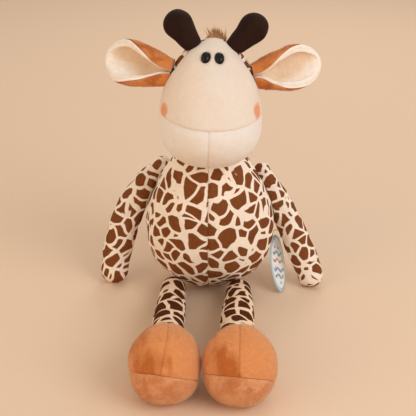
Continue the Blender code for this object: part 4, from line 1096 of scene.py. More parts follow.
def make_feet():
    """Two feet, each an upper and a sole about a middle point on the seam between them.

    Ways fan out from that point, through the half above the seam or the half below it, and
    end on the egg of the foot or on the ankle's socket.
    """
    rows, sides = 110, 240
    turn = crowded(sides, math.pi / 2)
    for name, sign in SIDES:
        ankle = np.array((sign * ANKLE_OUT[name], -ANKLE_FORWARD, ANKLE_HEIGHT))
        back = -ANKLE_FORWARD + ANKLE_INSET
        foot = np.array((sign * FOOT_OUT[name], back, FOOT_HEIGHT / 2 - FLAT_DEPTH))
        middle = np.array((foot[0], back - FOOT_LENGTH * FOOT_WIDEST_SHARE, SOLE_SEAM_HEIGHT))

        def in_foot(points):
            ahead = (foot[1] - points[..., 1]) / FOOT_LENGTH
            before = ahead >= FOOT_WIDEST_SHARE
            span = np.where(before, 1 - FOOT_WIDEST_SHARE, FOOT_WIDEST_SHARE)
            power = np.where(before, TOE_POWER, HEEL_POWER)
            away = np.clip(np.abs(ahead - FOOT_WIDEST_SHARE) / span, 0.0, 1.0)
            out = (1 - away**power) ** (1 / power)
            up = (points[..., 2] - foot[2]) / (FOOT_HEIGHT / 2)
            round_power = 2.15 - 0.35 * np.clip(up, -1.0, 1.0)
            share = (np.abs((points[..., 0] - foot[0]) / (FOOT_WIDTHS[name] / 2)) ** round_power
                     + np.abs(up) ** round_power) ** (1 / round_power)
            return (share < out) & (ahead > 0) & (ahead < 1)

        up = np.array((0.0, math.sin(SOLE_TILT), math.cos(SOLE_TILT)))
        for title, pole, finish in (("upper", up, foot_fur), ("sole", -up, sole_fur)):
            share = np.linspace(0.0, 1.0, rows + 1)[1:]
            angle = math.pi / 2 * (1 - (1 - share) ** 1.2)[:, None] + np.zeros(sides)
            ways = ways_about(pole, angle, np.broadcast_to(turn, angle.shape))
            far = reach_out(middle, ways, in_foot)
            ball = reach_ball(middle, ways, ankle, ANKLE_RADII[name] + TURN_GAP)
            socket = ball < far
            far = np.minimum(far, ball)
            points = middle + ways * far[..., None] + pole * SEAM_GAP / 2
            edge = lengths(points - points[-1:])[..., 0]
            uneven = 0.6 + 0.5 * lumps(points, 0.012, 65)
            sink = seam_groove(edge, *SOLE_SEAM) * uneven
            # Painted shade along the sole seam's crease, uneven like its groove.
            seam = 0.6 * seam_shade(edge, 0.0010) * np.clip(uneven, 0.1, 1.0)
            sink = sink - 0.0003 * np.exp(-edge / 0.007) * lumps(points, 0.008, 61)
            sink = sink - 0.0004 * lumps(points, 0.04, 62) - 0.0002 * lumps(points, 0.010, 63)
            nap_and_painted_light = np.zeros(seam.shape)
            if title == "upper":
                aside = points[..., 0] - foot[0] - INSTEP_LEANS[name] * (
                    foot[2] + FOOT_HEIGHT / 4 - points[..., 2])
                sink = sink + seam_groove(aside, *INSTEP_SEAM)
                seam = np.maximum(seam, seam_shade(aside, 0.0007))
                # A deeper patch left of the instep seam; then the right of the seam and the top
                # by the ankle are painted lighter: painted light, as the lamp on the right and
                # above falls on them.
                nap_and_painted_light = np.exp(-np.abs((aside + 0.012) / 0.011) ** 3
                             - np.abs((points[..., 2] - 0.050) / 0.017) ** 3)
                nap_and_painted_light = nap_and_painted_light - 0.8 * eased(aside + 0.006 * lumps(points, 0.015, 66), 0.0, 0.014)
                nap_and_painted_light = nap_and_painted_light - 0.8 * eased(points[..., 2], 0.064, 0.076)
            by_leg = 1 - eased(lengths(points - ankle)[..., 0], ANKLE_RADII[name],
                               ANKLE_RADII[name] + 0.008)
            sink = sink + by_leg * (np.maximum(-sink, 0.0) + 0.0003)
            points = points - ways * np.where(socket, 0.0, sink)[..., None]
            inner = [middle + pole * SEAM_GAP / 2 + (points[-1] - middle) * part
                     for part in INNER_SHARES]
            rings = np.concatenate([points, inner])
            near = np.exp(-(((rings - middle) @ up) / 0.014) ** 2)
            slope = SOLE_SLOPES[name] * (foot[0] - rings[..., 0]) + 0.0006 * lumps(
                rings, 0.03, 64)
            rings = pressed_flat(rings + (slope * near)[..., None] * up)
            top = reach_out(middle, pole[None], in_foot)[0]
            vertices, faces = skin(rings, middle + pole * top,
                                   middle + pole * SEAM_GAP / 2)
            make_piece(f"foot_{name}_{title}", pressed_flat(vertices), faces, finish,
                       f"foot_{name}", [f"foot_{title}_{name}"],
                       marks={"seam": seam, "nap_and_painted_light": nap_and_painted_light})
            grid = pressed_flat(rings[:rows])
            free = (~socket & (lengths(grid - ankle)[..., 0] > ANKLE_RADII[name] + 0.004)
                    & (grid[..., 2] > 0.004) & (np.abs(grid[..., 0]) > 0.0035)
                    & (edge > 0.0006))
            comb = np.broadcast_to((0.0, -0.5, -0.85), grid.shape) + 0.6 * (
                grid - foot) * (1.0, 0.0, 0.0) / FOOT_WIDTHS[name]
            spikes, faces, place = fibres(grid, free, comb, FOOT_PILE_COUNTS[title],
                                          PILE_LENGTH, 67)
            make_piece(f"foot_{name}_{title}_pile", spikes, faces, painted_light_foot_pile, f"foot_{name}",
                       marks={"nap_and_painted_light": nap_and_painted_light[place]})


# ---------------------------------------------------------------- hair


def strands(roots, ways, bends, reaches, thickness, rows=6, sides=4):
    """Hairs as thin tapered spikes.

    Each runs from its root along its way and bends more the further it goes: root + way t
    + bend t squared. Its thickness falls off towards the tip.
    """
    part = np.linspace(0.0, 1.0, rows)[None, :, None]
    reach = reaches[:, None, None]
    spine = roots[:, None] + reach * (ways[:, None] * part + bends[:, None] * part**2)
    along = np.gradient(spine, axis=1)
    side = np.cross(along, np.array((0.31, 0.87, 0.39)))
    side /= lengths(side)
    other = np.cross(along, side)
    other /= lengths(other)
    around = full_turn(sides)[:, None]
    size = thickness * (1 - 0.93 * part**1.6)
    rings = spine[:, :, None] + size[..., None] * (
        np.cos(around) * side[:, :, None] + np.sin(around) * other[:, :, None])
    count = len(roots)
    each = rows * sides
    points = rings.reshape(-1, 3)
    one = ring_faces(rows, sides)
    ends = np.array([[0, 3, 2, 1], [each - 4, each - 3, each - 2, each - 1]])
    faces = (np.arange(count)[:, None, None] * each
             + np.concatenate([one, ends])[None]).reshape(-1, 4)
    return points, [faces]


def make_mane():
    """A soft crest with hairs on it, tallest at the crown, lying over to the right."""
    rows, sides = 70, 40
    part = np.linspace(0.0, 1.0, rows)
    levels = MANE_LEVEL_SHARES[0] + (MANE_LEVEL_SHARES[1] - MANE_LEVEL_SHARES[0]) * part
    sizes = np.sqrt(np.sin((0.28 + 0.70 * part) * math.pi)) * (1.45 - 0.75 * part)
    feet = [head_point(level, None, 1.0) for level in levels]
    outs = np.array([head_normal(foot) for foot in feet])
    feet = np.array(feet)
    turn = np.linspace(0.0, math.pi, sides)
    aside = MANE_HALF_WIDTH * sizes[:, None] * np.cos(turn) * 0.92
    hug = aside**2 / HEAD_WIDTH / head_out_share(levels)[:, None]
    rise = 0.62 * MANE_RISE * sizes[:, None] * np.sin(turn) ** 0.8 - hug + SEAM_GAP
    crest = feet[:, None] + outs[:, None] * rise[..., None]
    crest[..., 0] += aside
    place = head_matrix()
    points, faces = skin(crest, crest[0].mean(axis=0), crest[-1].mean(axis=0))
    make_piece("mane_crest", in_place(place, points), faces, hair_core, "head", ["mane"])
    chance = np.random.default_rng(71)
    count = MANE_HAIR_COUNT
    pick = chance.uniform(0.0, 1.0, count) ** 1.5
    along = pick * (rows - 1)
    level = np.interp(along, np.arange(rows), levels)
    size = np.interp(along, np.arange(rows), sizes)
    foot, out = (np.stack([np.interp(along, np.arange(rows), column) for column in table.T], -1)
                 for table in (feet, outs))
    aside = chance.normal(0.30, 0.25, count).clip(-0.5, 0.9) * MANE_HALF_WIDTH * size
    hug = aside**2 / HEAD_WIDTH / head_out_share(level)
    roots = foot + out * (0.0006 - hug)[:, None]
    roots[:, 0] += aside
    ways = out + chance.normal(0.0, 0.13, (count, 3))
    ways[:, 0] += aside / MANE_HALF_WIDTH * 0.25
    ways /= lengths(ways)
    bends = chance.normal(0.0, 0.12, (count, 3)) + np.array((-0.22, -0.08, -0.04))
    reaches = MANE_RISE * size * chance.uniform(0.85, 1.35, count)
    points, faces = strands(roots, ways, bends, reaches, MANE_HAIR_THICKNESS)
    make_piece("mane_hair", in_place(place, points), faces, hair_strand, "head")


def make_tail():
    """A thin stuffed tail that lies back on the table, and its tuft of hair."""
    rows, sides = 80, 48
    root = np.array(TAIL_ROOT)
    tip = np.array((root[0], root[1] + TAIL_LENGTH, TUFT_RADIUS))
    bend = np.array((root[0], (root[1] + tip[1]) / 2, TUFT_RADIUS))
    part = np.linspace(0.0, 1.0, rows)
    radii = smooth(TAIL_RADIUS_SHARES, part) * TAIL_RADIUS
    path, ways = bent_path(root, bend, tip, rows)
    rings, first, last = limb(path, ways, radii, sides, (1.0, 0.0, 0.0))
    points, faces = skin(rings, first, last)
    make_piece("tail_cord", points, faces, arm_print, "tail", ["tail"])

    start = tip - np.array((0.0, radii[-1], FLAT_DEPTH))
    turn = np.linspace(0.0, math.pi / 2, 22)
    widest = TUFT_LENGTH * TUFT_WIDEST_SHARE
    up = np.concatenate([widest * (1 - np.cos(turn) ** (2 / TUFT_ROOT_POWER)),
                         widest + (TUFT_LENGTH - widest)
                         * np.sin(turn[1:]) ** (2 / TUFT_TIP_POWER)])
    out = TUFT_RADIUS * 0.86 * np.concatenate([np.sin(turn) ** (2 / TUFT_ROOT_POWER),
                                               np.cos(turn[1:]) ** (2 / TUFT_TIP_POWER)])
    around = full_turn(sides)
    rings = start + np.stack([
        out[1:-1, None] * np.cos(around),
        np.broadcast_to(up[1:-1, None], (len(up) - 2, sides)),
        out[1:-1, None] * np.sin(around),
    ], axis=-1)
    points, faces = skin(rings, start, start + np.array((0.0, TUFT_LENGTH * 0.97, 0.0)))
    make_piece("tail_tuft_core", pressed_flat(points), faces, hair_core, "tail",
               ["tail_tuft"])
    chance = np.random.default_rng(81)
    count = TUFT_HAIR_COUNT
    turn = chance.uniform(0.0, 2 * math.pi, count)
    level = chance.uniform(0.02, 0.6, count)
    width = np.interp(level * TUFT_LENGTH, up, out)
    roots = start + np.stack([width * np.cos(turn), level * TUFT_LENGTH,
                              width * np.sin(turn)], axis=-1) * 0.97
    ways = np.stack([0.25 * np.cos(turn), np.ones(count), 0.25 * np.sin(turn)], axis=-1)
    ways = ways + chance.normal(0.0, 0.10, (count, 3))
    ways /= lengths(ways)
    inward = np.stack([-np.cos(turn), np.zeros(count), -np.sin(turn)], axis=-1)
    reaches = (1 - level) * TUFT_LENGTH * chance.uniform(0.55, 0.98, count)
    points, faces = strands(roots, ways, inward * 0.42, reaches, TUFT_HAIR_THICKNESS)
    make_piece("tail_tuft_hair", pressed_flat(points), faces, hair_strand, "tail")


# ---------------------------------------------------------------- hang tag


def tag_lean():
    """How far the card leans forward before its lowest edge stands on the table."""
    low, high = 0.0, math.radians(80.0)
    for _ in range(SEARCH_STEPS):
        middle = (low + high) / 2
        turn = np.array(tag_turn(middle))
        level = TAG_HOLE[2] - (TAG_LENGTH / 2 - TAG_HOLE_INSET) * turn[2, 2]
        clear = level - math.hypot(TAG_LENGTH / 2 * turn[2, 2], TAG_WIDTH / 2 * turn[2, 0])
        low, high = (middle, high) if clear < TAG_THICKNESS else (low, middle)
    return high


def tag_turn(lean):
    """The card's turn about its hole when it leans forward by an angle."""
    return (Matrix.Rotation(-lean, 4, "X") @ Matrix.Rotation(TAG_YAW, 4, "Z")
            @ Matrix.Rotation(TAG_ROLL, 4, "Y"))


def make_tag():
    """The oval card: rings that spread from its hole to its edge, front and back.

    Each ring lies a share of the way from the hole's circle to the oval, seen from the
    hole. The marks give each point's place on the card for its printed pattern.
    """
    rings_count, sides = 26, 160
    turn = full_turn(sides)
    ways = np.stack([np.sin(turn), np.cos(turn)], axis=-1)
    half = np.array((TAG_WIDTH / 2, TAG_LENGTH / 2))
    centre = np.array((0.0, TAG_HOLE_INSET - TAG_LENGTH / 2))
    offset = -centre / half
    scaled = ways / half
    a = (scaled**2).sum(axis=-1)
    b = scaled @ offset
    reach = (-b + np.sqrt(b**2 - a * (offset @ offset - 1))) / a
    share = np.linspace(0.0, 1.0, rings_count)[:, None]
    distance = TAG_HOLE_RADIUS + (reach - TAG_HOLE_RADIUS) * share
    flat = ways * distance[..., None]
    soften = TAG_THICKNESS / 2 * (1 - 0.35 * np.exp(-(reach - distance) / 0.0003))
    front = np.stack([flat[..., 0], -soften, flat[..., 1]], axis=-1)
    rings = np.concatenate([front, front[::-1] * (1.0, -1.0, 1.0)])
    curl = 0.0009 * (rings[..., 0] / half[0]) ** 2 - 0.0003
    rings[..., 1] += curl
    rows = len(rings)
    number = np.arange(rows)[:, None] * sides
    after_row = (np.arange(rows)[:, None] + 1) % rows * sides
    here, after = np.arange(sides), (np.arange(sides) + 1) % sides
    faces = np.stack([number + here, number + after, after_row + after, after_row + here],
                     axis=-1).reshape(-1, 4)
    points = rings.reshape(-1, 3)
    place = Matrix.Translation(TAG_HOLE) @ tag_turn(tag_lean())
    card_x = points[:, 0] / half[0]
    card_y = (points[:, 2] - centre[1]) / half[1]
    make_piece("tag_card_oval", in_place(place, points), [faces], tag_paper, "tag",
               ["tag_card"], marks={"card_x": card_x, "card_y": card_y})


# ---------------------------------------------------------------- finishes


def tone(red, green, blue):
    """A colour from its screen values, 0 to 255, to the linear values of a shader."""
    screen = np.array((red, green, blue)) / 255
    linear = np.where(screen <= 0.04045, screen / 12.92, ((screen + 0.055) / 1.055) ** 2.4)
    return (*linear.tolist(), 1.0)


class Finish:
    """A material with short ways to add and join its nodes."""

    def __init__(self, name, roughness, **values):
        self.material = bpy.data.materials.new(name)
        self.material.use_nodes = True
        self.nodes = self.material.node_tree.nodes
        self.links = self.material.node_tree.links
        self.shader = self.nodes["Principled BSDF"]
        self.shader.inputs["Roughness"].default_value = roughness
        for socket, value in values.items():
            self.shader.inputs[socket.replace("_", " ")].default_value = value

    def feed(self, socket, value):
        """Join a node's output to a socket, or set the socket to a plain value."""
        if isinstance(value, bpy.types.NodeSocket):
            self.links.new(value, socket)
        else:
            socket.default_value = value

    def node(self, kind, settings=None, **inputs):
        """A node with its settings made and its inputs joined or set."""
        node = self.nodes.new("ShaderNode" + kind)
        for title, value in (settings or {}).items():
            setattr(node, title, value)
        for title, value in inputs.items():
            self.feed(node.inputs[title.replace("_", " ")], value)
        return node

    def vector(self, operation, first, second=None, **inputs):
        """The outputs of one sum of vectors."""
        node = self.node("VectorMath", {"operation": operation}, **inputs)
        self.feed(node.inputs[0], first)
        if second is not None:
            self.feed(node.inputs[1], second)
        return node.outputs

    def mark(self, title):
        """A mark that a piece carries on its vertices."""
        return self.node("Attribute", {"attribute_name": title}).outputs["Fac"]

    def place(self):
        """The place on the piece, in metres."""
        return self.node("TexCoord").outputs["Object"]

    def stretch(self, vector, scale, shift=(0.0, 0.0, 0.0)):
        """A place stretched and shifted."""
        return self.node("Mapping", Vector=vector, Scale=scale, Location=shift).outputs[0]

    def sums(self, operation, first, second=0.5, third=None):
        """One sum of numbers."""
        node = self.node("Math", {"operation": operation})
        self.feed(node.inputs[0], first)
        self.feed(node.inputs[1], second)
        if third is not None:
            self.feed(node.inputs[2], third)
        return node.outputs[0]

    def noise(self, vector, scale, detail=2.0, rough=0.5):
        """Soft random values between 0 and 1."""
        return self.node("TexNoise", Vector=vector, Scale=scale, Detail=detail,
                         Roughness=rough).outputs["Fac"]

    def ramp(self, value, low, high, start=0.0, end=1.0):
        """A value drawn out smoothly from start to end between low and high."""
        node = self.node("MapRange", {"interpolation_type": "SMOOTHSTEP"})
        for socket, number in zip(node.inputs, (value, low, high, start, end)):
            self.feed(socket, number)
        return node.outputs[0]

    def mix(self, share, first, second):
        """A blend of two colours."""
        node = self.node("Mix", {"data_type": "RGBA"})
        self.feed(node.inputs[0], share)
        self.feed(node.inputs[6], first)
        self.feed(node.inputs[7], second)
        return node.outputs[2]

    def vary(self, colour, value, spread):
        """A colour made lighter and darker by a value about a half."""
        bright = self.ramp(value, 0.25, 0.75, 1 - spread, 1 + spread)
        node = self.node("HueSaturation", Value=bright, Color=colour)
        return node.outputs[0]

    def bump(self, height, distance, strength=1.0, below=None):
        """Small relief, over other relief where it is given."""
        node = self.node("Bump", Height=height, Distance=distance, Strength=strength)
        if below is not None:
            self.feed(node.inputs["Normal"], below)
        return node.outputs[0]

    def nap(self, pile, depth):
        """Relief of a brushed pile: fine fibres over soft tufts."""
        place = self.place()
        tufts = self.noise(place, 1.0 / pile, 3.0, 0.6)
        fibres = self.noise(self.stretch(place, (1.0, 1.0, 0.35)), 4.0 / pile, 2.0, 0.6)
        return self.bump(fibres, depth * 0.5, 0.6, self.bump(tufts, depth, 0.7))

    def seam_shaded(self, colour, shade):
        """A colour darkened along a seam: painted shade in the crease where the pile is caught.
        """
        bright = self.sums("MULTIPLY_ADD", self.mark("seam"), -shade, 1.0)
        return self.node("HueSaturation", Value=bright, Color=colour).outputs[0]

    def done(self, colour, normal=None):
        """Set the colour and relief, and give the material back."""
        self.feed(self.shader.inputs["Base Color"], colour)
        if normal is not None:
            self.feed(self.shader.inputs["Normal"], normal)
        return self.material


CREAM = tone(236, 224, 212)
PRINT_CREAM = tone(249, 236, 221)
SPOT_BROWN = tone(140, 84, 46)
SPOT_DARK = tone(110, 60, 30)
LEG_BROWN = tone(88, 42, 14)
ORANGE = tone(228, 150, 92)
ORANGE_DEEP = tone(194, 108, 46)


# How far the print jumps where the fabric is cut
PRINT_JUMP = (0.0, 0.137, 0.081)


def giraffe_print(name, pitch, squash, line, light, deep, cut=False, corners=0.12,
                  ground=PRINT_CREAM, wavy=0.65, scatter=0.95):
    """Short pile with a printed net of pale lines between brown patches.

    The patches are the cells round scattered points. Their walls are wavy, and where the
    fabric is cut, the pattern jumps across the seam.
    """
    finish = Finish(name, 0.95, Specular_IOR_Level=0.1)
    place = finish.place()
    if cut:
        side = finish.sums("GREATER_THAN", finish.node("SeparateXYZ", Vector=place).outputs[0],
                           0.0)
        jump = finish.vector("SCALE", PRINT_JUMP, Scale=side)[0]
        place = finish.vector("ADD", place, jump)[0]
    wave = finish.node("TexNoise", Vector=place, Scale=0.9 / pitch, Detail=0.0)
    centred = finish.vector("SUBTRACT", wave.outputs["Color"], (0.5, 0.5, 0.5))[0]
    sway = finish.vector("SCALE", centred, Scale=pitch * wavy)[0]
    laid = finish.stretch(finish.vector("ADD", place, sway)[0], squash)
    cells = finish.node("TexVoronoi", {"feature": "DISTANCE_TO_EDGE"}, Vector=laid,
                        Scale=1 / pitch, Randomness=scatter)
    hearts = finish.node("TexVoronoi", {"feature": "F1"}, Vector=laid, Scale=1 / pitch,
                         Randomness=scatter)
    corner = finish.sums("MAXIMUM", finish.sums(
        "SUBTRACT", hearts.outputs["Distance"], 0.30), 0.0)
    wall = finish.sums("MULTIPLY_ADD", corner, -corners, cells.outputs["Distance"])
    wall = finish.sums("MULTIPLY_ADD", finish.noise(place, 420.0, 2.0), 0.012, wall)
    patch = finish.ramp(wall, line * 0.90, line * 1.25)
    brown = finish.mix(finish.noise(place, 38.0, 2.0), light, deep)
    brown = finish.vary(brown, finish.noise(place, 380.0, 2.0), 0.10)
    ground = finish.vary(ground, finish.noise(place, 300.0, 2.0), 0.03)
    # Darker along the seams: painted shade in their creases.
    colour = finish.seam_shaded(finish.mix(patch, ground, brown), 0.25)
    return finish.done(colour, finish.nap(0.0011, 0.00024))


def face_finish(name, colour, blush):
    """Smooth short velour, a little pinker in broad soft areas."""
    finish = Finish(name, 0.9, Sheen_Weight=0.12, Sheen_Roughness=0.4, Specular_IOR_Level=0.25)
    place = finish.place()
    tint = finish.mix(finish.ramp(finish.noise(place, 22.0, 1.0), 0.35, 0.75, 0.0, 0.5),
                      colour, blush)
    tint = finish.vary(tint, finish.noise(place, 260.0, 2.0), 0.02)
    return finish, tint


# Where the nostrils are sprayed on, and how far the colour reaches each way
NOSTRILS = ((-0.0450, -0.0845, 0.2385), (0.0505, -0.0818, 0.2385))
NOSTRIL_REACH = (0.0082, 0.0095, 0.0098)


def make_face_velour():
    """The face, with a soft orange spot sprayed on each side above the mouth."""
    finish, tint = face_finish("face_velour", CREAM, tone(240, 216, 194))
    place = finish.place()
    colour = tint
    for spot in NOSTRILS:
        shift = tuple(-at / reach for at, reach in zip(spot, NOSTRIL_REACH))
        near = finish.stretch(place, tuple(1 / reach for reach in NOSTRIL_REACH), shift)
        away = finish.vector("LENGTH", near)["Value"]
        grain = finish.sums("MULTIPLY_ADD", finish.noise(place, 240.0, 2.0), 0.5, away)
        colour = finish.mix(finish.ramp(grain, 0.75, 1.35, 0.85, 0.0), colour,
                            tone(230, 148, 98))
    return finish.done(finish.seam_shaded(colour, 0.08), finish.nap(0.0009, 0.00018))


def plain_velour(name, colour, deep, pile, depth, patches, spread, sheen=0.15):
    """A brushed pile in one colour that lies two ways, with lighter and deeper patches; a piece's
    mark can add painted light and shade.
    """
    finish = Finish(name, 0.9, Sheen_Weight=sheen, Sheen_Roughness=0.35,
                    Sheen_Tint=tone(255, 224, 196), Specular_IOR_Level=0.2)
    place = finish.place()
    nap_and_painted_light = finish.noise(finish.stretch(place, patches), 1.0, 2.5, 0.6)
    nap_and_painted_light = finish.sums("MULTIPLY", finish.ramp(nap_and_painted_light, 0.42, 0.64), spread)
    # The mark adds a piece's painted light and shade: on the feet a deeper patch left of the
    # seam, and a lighter right side and top.
    nap_and_painted_light = finish.sums("MULTIPLY_ADD", finish.mark("nap_and_painted_light"), 0.85, nap_and_painted_light)
    nap_and_painted_light = finish.node("Clamp", Value=nap_and_painted_light).outputs[0]
    tint = finish.mix(nap_and_painted_light, colour, deep)
    tint = finish.vary(tint, finish.noise(place, 1 / (pile * 2.2), 3.0, 0.65), 0.07)
    return finish.done(finish.seam_shaded(tint, 0.14), finish.nap(pile, depth))


def make_ear_lining():
    """Cream pile, lightest on the rolled rim, turning tan in the hollow as painted shade."""
    finish = Finish("ear_lining", 0.9, Sheen_Weight=0.12, Sheen_Roughness=0.5)
    place = finish.place()
    depth = finish.sums("MULTIPLY_ADD", finish.noise(place, 90.0, 2.0), 0.08,
                        finish.mark("depth"))
    # Painted shade: the deeper into the hollow, the more tan the lining.
    tint = finish.mix(finish.ramp(depth, 0.75, 1.35), tone(248, 238, 227), tone(230, 203, 175))
    tint = finish.vary(tint, finish.noise(place, 240.0, 3.0, 0.6), 0.05)
    return finish.done(tint, finish.nap(0.0013, 0.0003))


def make_hair(name):
    """Brown hair, lighter and darker in soft patches, with a silky streak along each lock."""
    finish = Finish(name, 0.55, Specular_IOR_Level=0.35, Sheen_Weight=0.2)
    place = finish.place()
    tint = finish.mix(finish.noise(place, 210.0, 2.0), tone(176, 112, 58), tone(228, 178, 120))
    streak = finish.noise(finish.stretch(place, (1.0, 0.3, 1.0)), 900.0, 2.0)
    return finish.done(finish.vary(tint, streak, 0.2), finish.bump(streak, 0.0003, 0.8))


def make_eye_gloss():
    """Polished black plastic with faint haze."""
    finish = Finish("eye_gloss", 0.16, Specular_IOR_Level=0.25)
    haze = finish.noise(finish.place(), 600.0, 2.0)
    finish.feed(finish.shader.inputs["Roughness"], finish.ramp(haze, 0.3, 0.7, 0.12, 0.22))
    return finish.done(tone(9, 8, 8), finish.bump(haze, 0.00002, 0.3))


def make_tag_paper():
    """Coated card with a pale blue edge, and a generic print of dots and waves."""
    finish = Finish("tag_paper", 0.35, Specular_IOR_Level=0.5)
    across, along = finish.mark("card_x"), finish.mark("card_y")
    out = finish.sums("ADD", finish.sums("MULTIPLY", across, across),
                      finish.sums("MULTIPLY", along, along))
    tint = finish.mix(finish.ramp(out, 0.70, 0.78), tone(244, 247, 248), tone(176, 208, 226))
    inside = finish.ramp(out, 0.52, 0.56, 1.0, 0.0)
    wave = finish.sums("SINE", finish.sums("MULTIPLY_ADD", across, 9.0, 0.0), 0.0)
    level = finish.sums("MULTIPLY_ADD", wave, 0.05, along)
    for place, colour in ((0.34, tone(64, 150, 150)), (0.08, tone(204, 86, 72)),
                          (-0.24, tone(86, 120, 176)), (-0.46, tone(64, 150, 150))):
        away = finish.sums("ABSOLUTE", finish.sums("SUBTRACT", level, place), 0.0)
        band = finish.sums("MULTIPLY", finish.ramp(away, 0.035, 0.055, 1.0, 0.0), inside)
        tint = finish.mix(finish.sums("MULTIPLY", band, 0.75), tint, colour)
    spots = finish.node("CombineXYZ", X=finish.sums("MULTIPLY", across, 1.9),
                        Y=finish.sums("MULTIPLY", along, 4.0))
    dots = finish.node("TexVoronoi", {"feature": "F1", "voronoi_dimensions": "2D"},
                       Vector=spots.outputs[0], Scale=1.0, Randomness=0.35)
    dot = finish.sums("MULTIPLY", finish.ramp(dots.outputs["Distance"], 0.16, 0.22, 1.0, 0.0),
                      inside)
    tint = finish.mix(finish.sums("MULTIPLY", dot, 0.7), tint, tone(84, 134, 170))
    grain = finish.noise(finish.place(), 2200.0, 2.0)
    return finish.done(tint, finish.bump(grain, 0.00002, 0.4))


def make_plastic(name, colour):
    """Plain moulded plastic with a slight grain."""
    finish = Finish(name, 0.45, Specular_IOR_Level=0.5)
    grain = finish.noise(finish.place(), 900.0, 2.0)
    return finish.done(finish.vary(colour, grain, 0.05), finish.bump(grain, 0.00003, 0.5))


body_print = giraffe_print("body_print", 0.0182, (1.0, 1.0, 1.15), 0.082, SPOT_BROWN,
                           SPOT_DARK, cut=True)
head_print = giraffe_print("head_print", 0.0130, (1.0, 1.0, 1.0), 0.090, SPOT_BROWN, SPOT_DARK)
arm_print = giraffe_print("arm_print", 0.0150, (1.0, 1.0, 1.0), 0.086, SPOT_BROWN, SPOT_DARK,
                          corners=0.05, wavy=0.55)
leg_bands = giraffe_print("leg_bands", 0.0180, (1.0, 0.85, 1.0), 0.092, LEG_BROWN,
                          tone(74, 36, 12), corners=0.06, ground=tone(246, 218, 190),
                          wavy=0.45, scatter=0.78)
face_velour = make_face_velour()
jaw, jaw_tint = face_finish("jaw_velour", tone(239, 233, 227), tone(235, 223, 212))
jaw_velour = jaw.done(jaw.seam_shaded(jaw_tint, 0.10), jaw.nap(0.0009, 0.00018))
ear_fur = plain_velour("ear_fur", tone(210, 130, 72), tone(180, 98, 48), 0.0013, 0.0004,
                       (60.0, 90.0, 60.0), 0.9, sheen=0.8)
foot_fur = plain_velour("foot_fur", ORANGE, ORANGE_DEEP, 0.0013, 0.00035, (60.0, 30.0, 18.0),
                        0.7, sheen=0.8)
# The fibres' pile is a lighter copy of the fur beneath: painted light, which makes up for the
# shade the fibres cast on one another and brightens their fuzzy rims.
painted_light_foot_pile = plain_velour("painted_light_foot_pile", tone(255, 200, 146), tone(228, 144, 80), 0.0013, 0.0002,
                         (60.0, 30.0, 18.0), 0.7, sheen=1.0)
painted_light_ear_pile = plain_velour("painted_light_ear_pile", tone(244, 172, 112), tone(220, 134, 76), 0.0013, 0.0002,
                        (60.0, 90.0, 60.0), 0.9, sheen=1.0)
sole_fur = plain_velour("sole_fur", tone(230, 164, 118), tone(204, 124, 74), 0.0013, 0.00035,
                        (70.0, 70.0, 60.0), 0.8, sheen=0.8)
horn_velour = plain_velour("horn_velour", tone(42, 21, 12), tone(28, 12, 7), 0.0011, 0.0003,
                           (60.0, 60.0, 60.0), 0.6, sheen=0.02)
ear_lining = make_ear_lining()
hair_core = make_hair("hair_core")
hair_strand = make_hair("hair_strand")
eye_gloss = make_eye_gloss()
tag_paper = make_tag_paper()
clear_plastic = make_plastic("clear_plastic", tone(226, 226, 222))

make_torso()
make_head()
make_eyes()
make_horns()
make_ears()
make_arms()
make_legs()
make_feet()
make_mane()
make_tail()
make_tag()
for node in ("tag_loop", "eye_washer_left", "eye_washer_right"):
    for material_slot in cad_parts[node].material_slots:
        material_slot.material = clear_plastic


# ---------------------------------------------------------------- stage


# The floor, where the lamps point, and how strongly the surroundings light the giraffe and
# how bright they look behind it
FLOOR_HALF_WIDTH = 4.0
LAMP_TARGET = (0.0, -0.05, 0.14)
SKY = (0.59, 0.82)

# The camera: what it looks at, how far down and aside it stands, how far off, and its lens
CAMERA_TARGET = (-0.0023, -0.012, 0.096)
CAMERA_DOWN = math.radians(25.0)
CAMERA_ASIDE = math.radians(2.1)
CAMERA_DISTANCE = 1.06
CAMERA_LENS = 79.6
CAMERA_SENSOR = 36


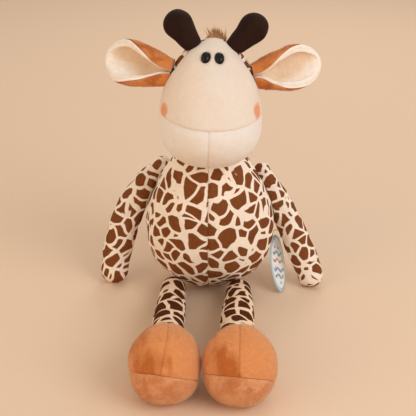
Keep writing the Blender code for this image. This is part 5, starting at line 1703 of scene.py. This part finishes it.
def make_stage():
    """A plain pale floor, a wide soft lamp above in front on the right, and weak fills."""
    half = FLOOR_HALF_WIDTH
    mesh = bpy.data.meshes.new("floor")
    mesh.from_pydata([(-half, -half, 0.0), (half, -half, 0.0), (half, half, 0.0),
                      (-half, half, 0.0)], [], [(0, 1, 2, 3)])
    floor = add_object("floor", mesh)
    finish = Finish("floor_cloth", 0.95, Specular_IOR_Level=0.1)
    weave = finish.noise(finish.stretch(finish.place(), (1.0, 3.0, 1.0)), 260.0, 2.0)
    mesh.materials.append(finish.done(
        finish.vary(tone(236, 210, 184), weave, 0.015), finish.bump(weave, 0.0002, 0.3)))
    for name, place, size, power, colour in (
            ("key", (1.15, -1.05, 1.10), 1.2, 12.6, (1.0, 1.0, 1.0)),
            ("fill", (-1.25, -1.10, 0.50), 1.4, 7.0, (1.0, 0.74, 0.46)),
            ("back", (0.2, 1.3, 1.2), 1.0, 5.0, (1.0, 0.94, 0.88))):
        lamp = bpy.data.lights.new(name, "AREA")
        lamp.shape = "DISK"
        lamp.size = size
        lamp.energy = power
        lamp.color = colour
        piece = add_object(name, lamp)
        piece.location = place
        aim = Vector(LAMP_TARGET) - Vector(place)
        piece.rotation_euler = aim.to_track_quat("-Z", "Y").to_euler()
    world = bpy.data.worlds.new("studio")
    bpy.context.scene.world = world
    world.use_nodes = True
    background = world.node_tree.nodes["Background"]
    background.inputs["Color"].default_value = (1.0, 0.90, 0.80, 1.0)
    path = world.node_tree.nodes.new("ShaderNodeLightPath")
    join = world.node_tree.links.new
    seen = None
    for kind in ("Is Camera Ray", "Is Transmission Ray", "Is Glossy Ray"):
        either = world.node_tree.nodes.new("ShaderNodeMath")
        either.operation = "MAXIMUM"
        join(path.outputs[kind], either.inputs[0])
        if seen:
            join(seen.outputs[0], either.inputs[1])
        else:
            either.inputs[1].default_value = 0.0
        seen = either
    strength = world.node_tree.nodes.new("ShaderNodeMapRange")
    strength.inputs["To Min"].default_value, strength.inputs["To Max"].default_value = SKY
    join(seen.outputs[0], strength.inputs["Value"])
    join(strength.outputs[0], background.inputs["Strength"])


def make_camera():
    """The photograph's view: 25 degrees down, 2.1 degrees to the giraffe's left."""
    level = math.cos(CAMERA_DOWN)
    direction = Vector((math.sin(CAMERA_ASIDE) * level, -math.cos(CAMERA_ASIDE) * level,
                        math.sin(CAMERA_DOWN)))
    lens = bpy.data.cameras.new("camera")
    lens.lens = CAMERA_LENS
    lens.sensor_width = CAMERA_SENSOR
    camera = add_object("camera", lens)
    camera.location = Vector(CAMERA_TARGET) + direction * CAMERA_DISTANCE
    camera.rotation_euler = (-direction).to_track_quat("-Z", "Y").to_euler()
    bpy.context.scene.camera = camera


make_stage()
make_camera()
bpy.context.scene.view_settings.view_transform = "Standard"
bpy.context.view_layer.update()
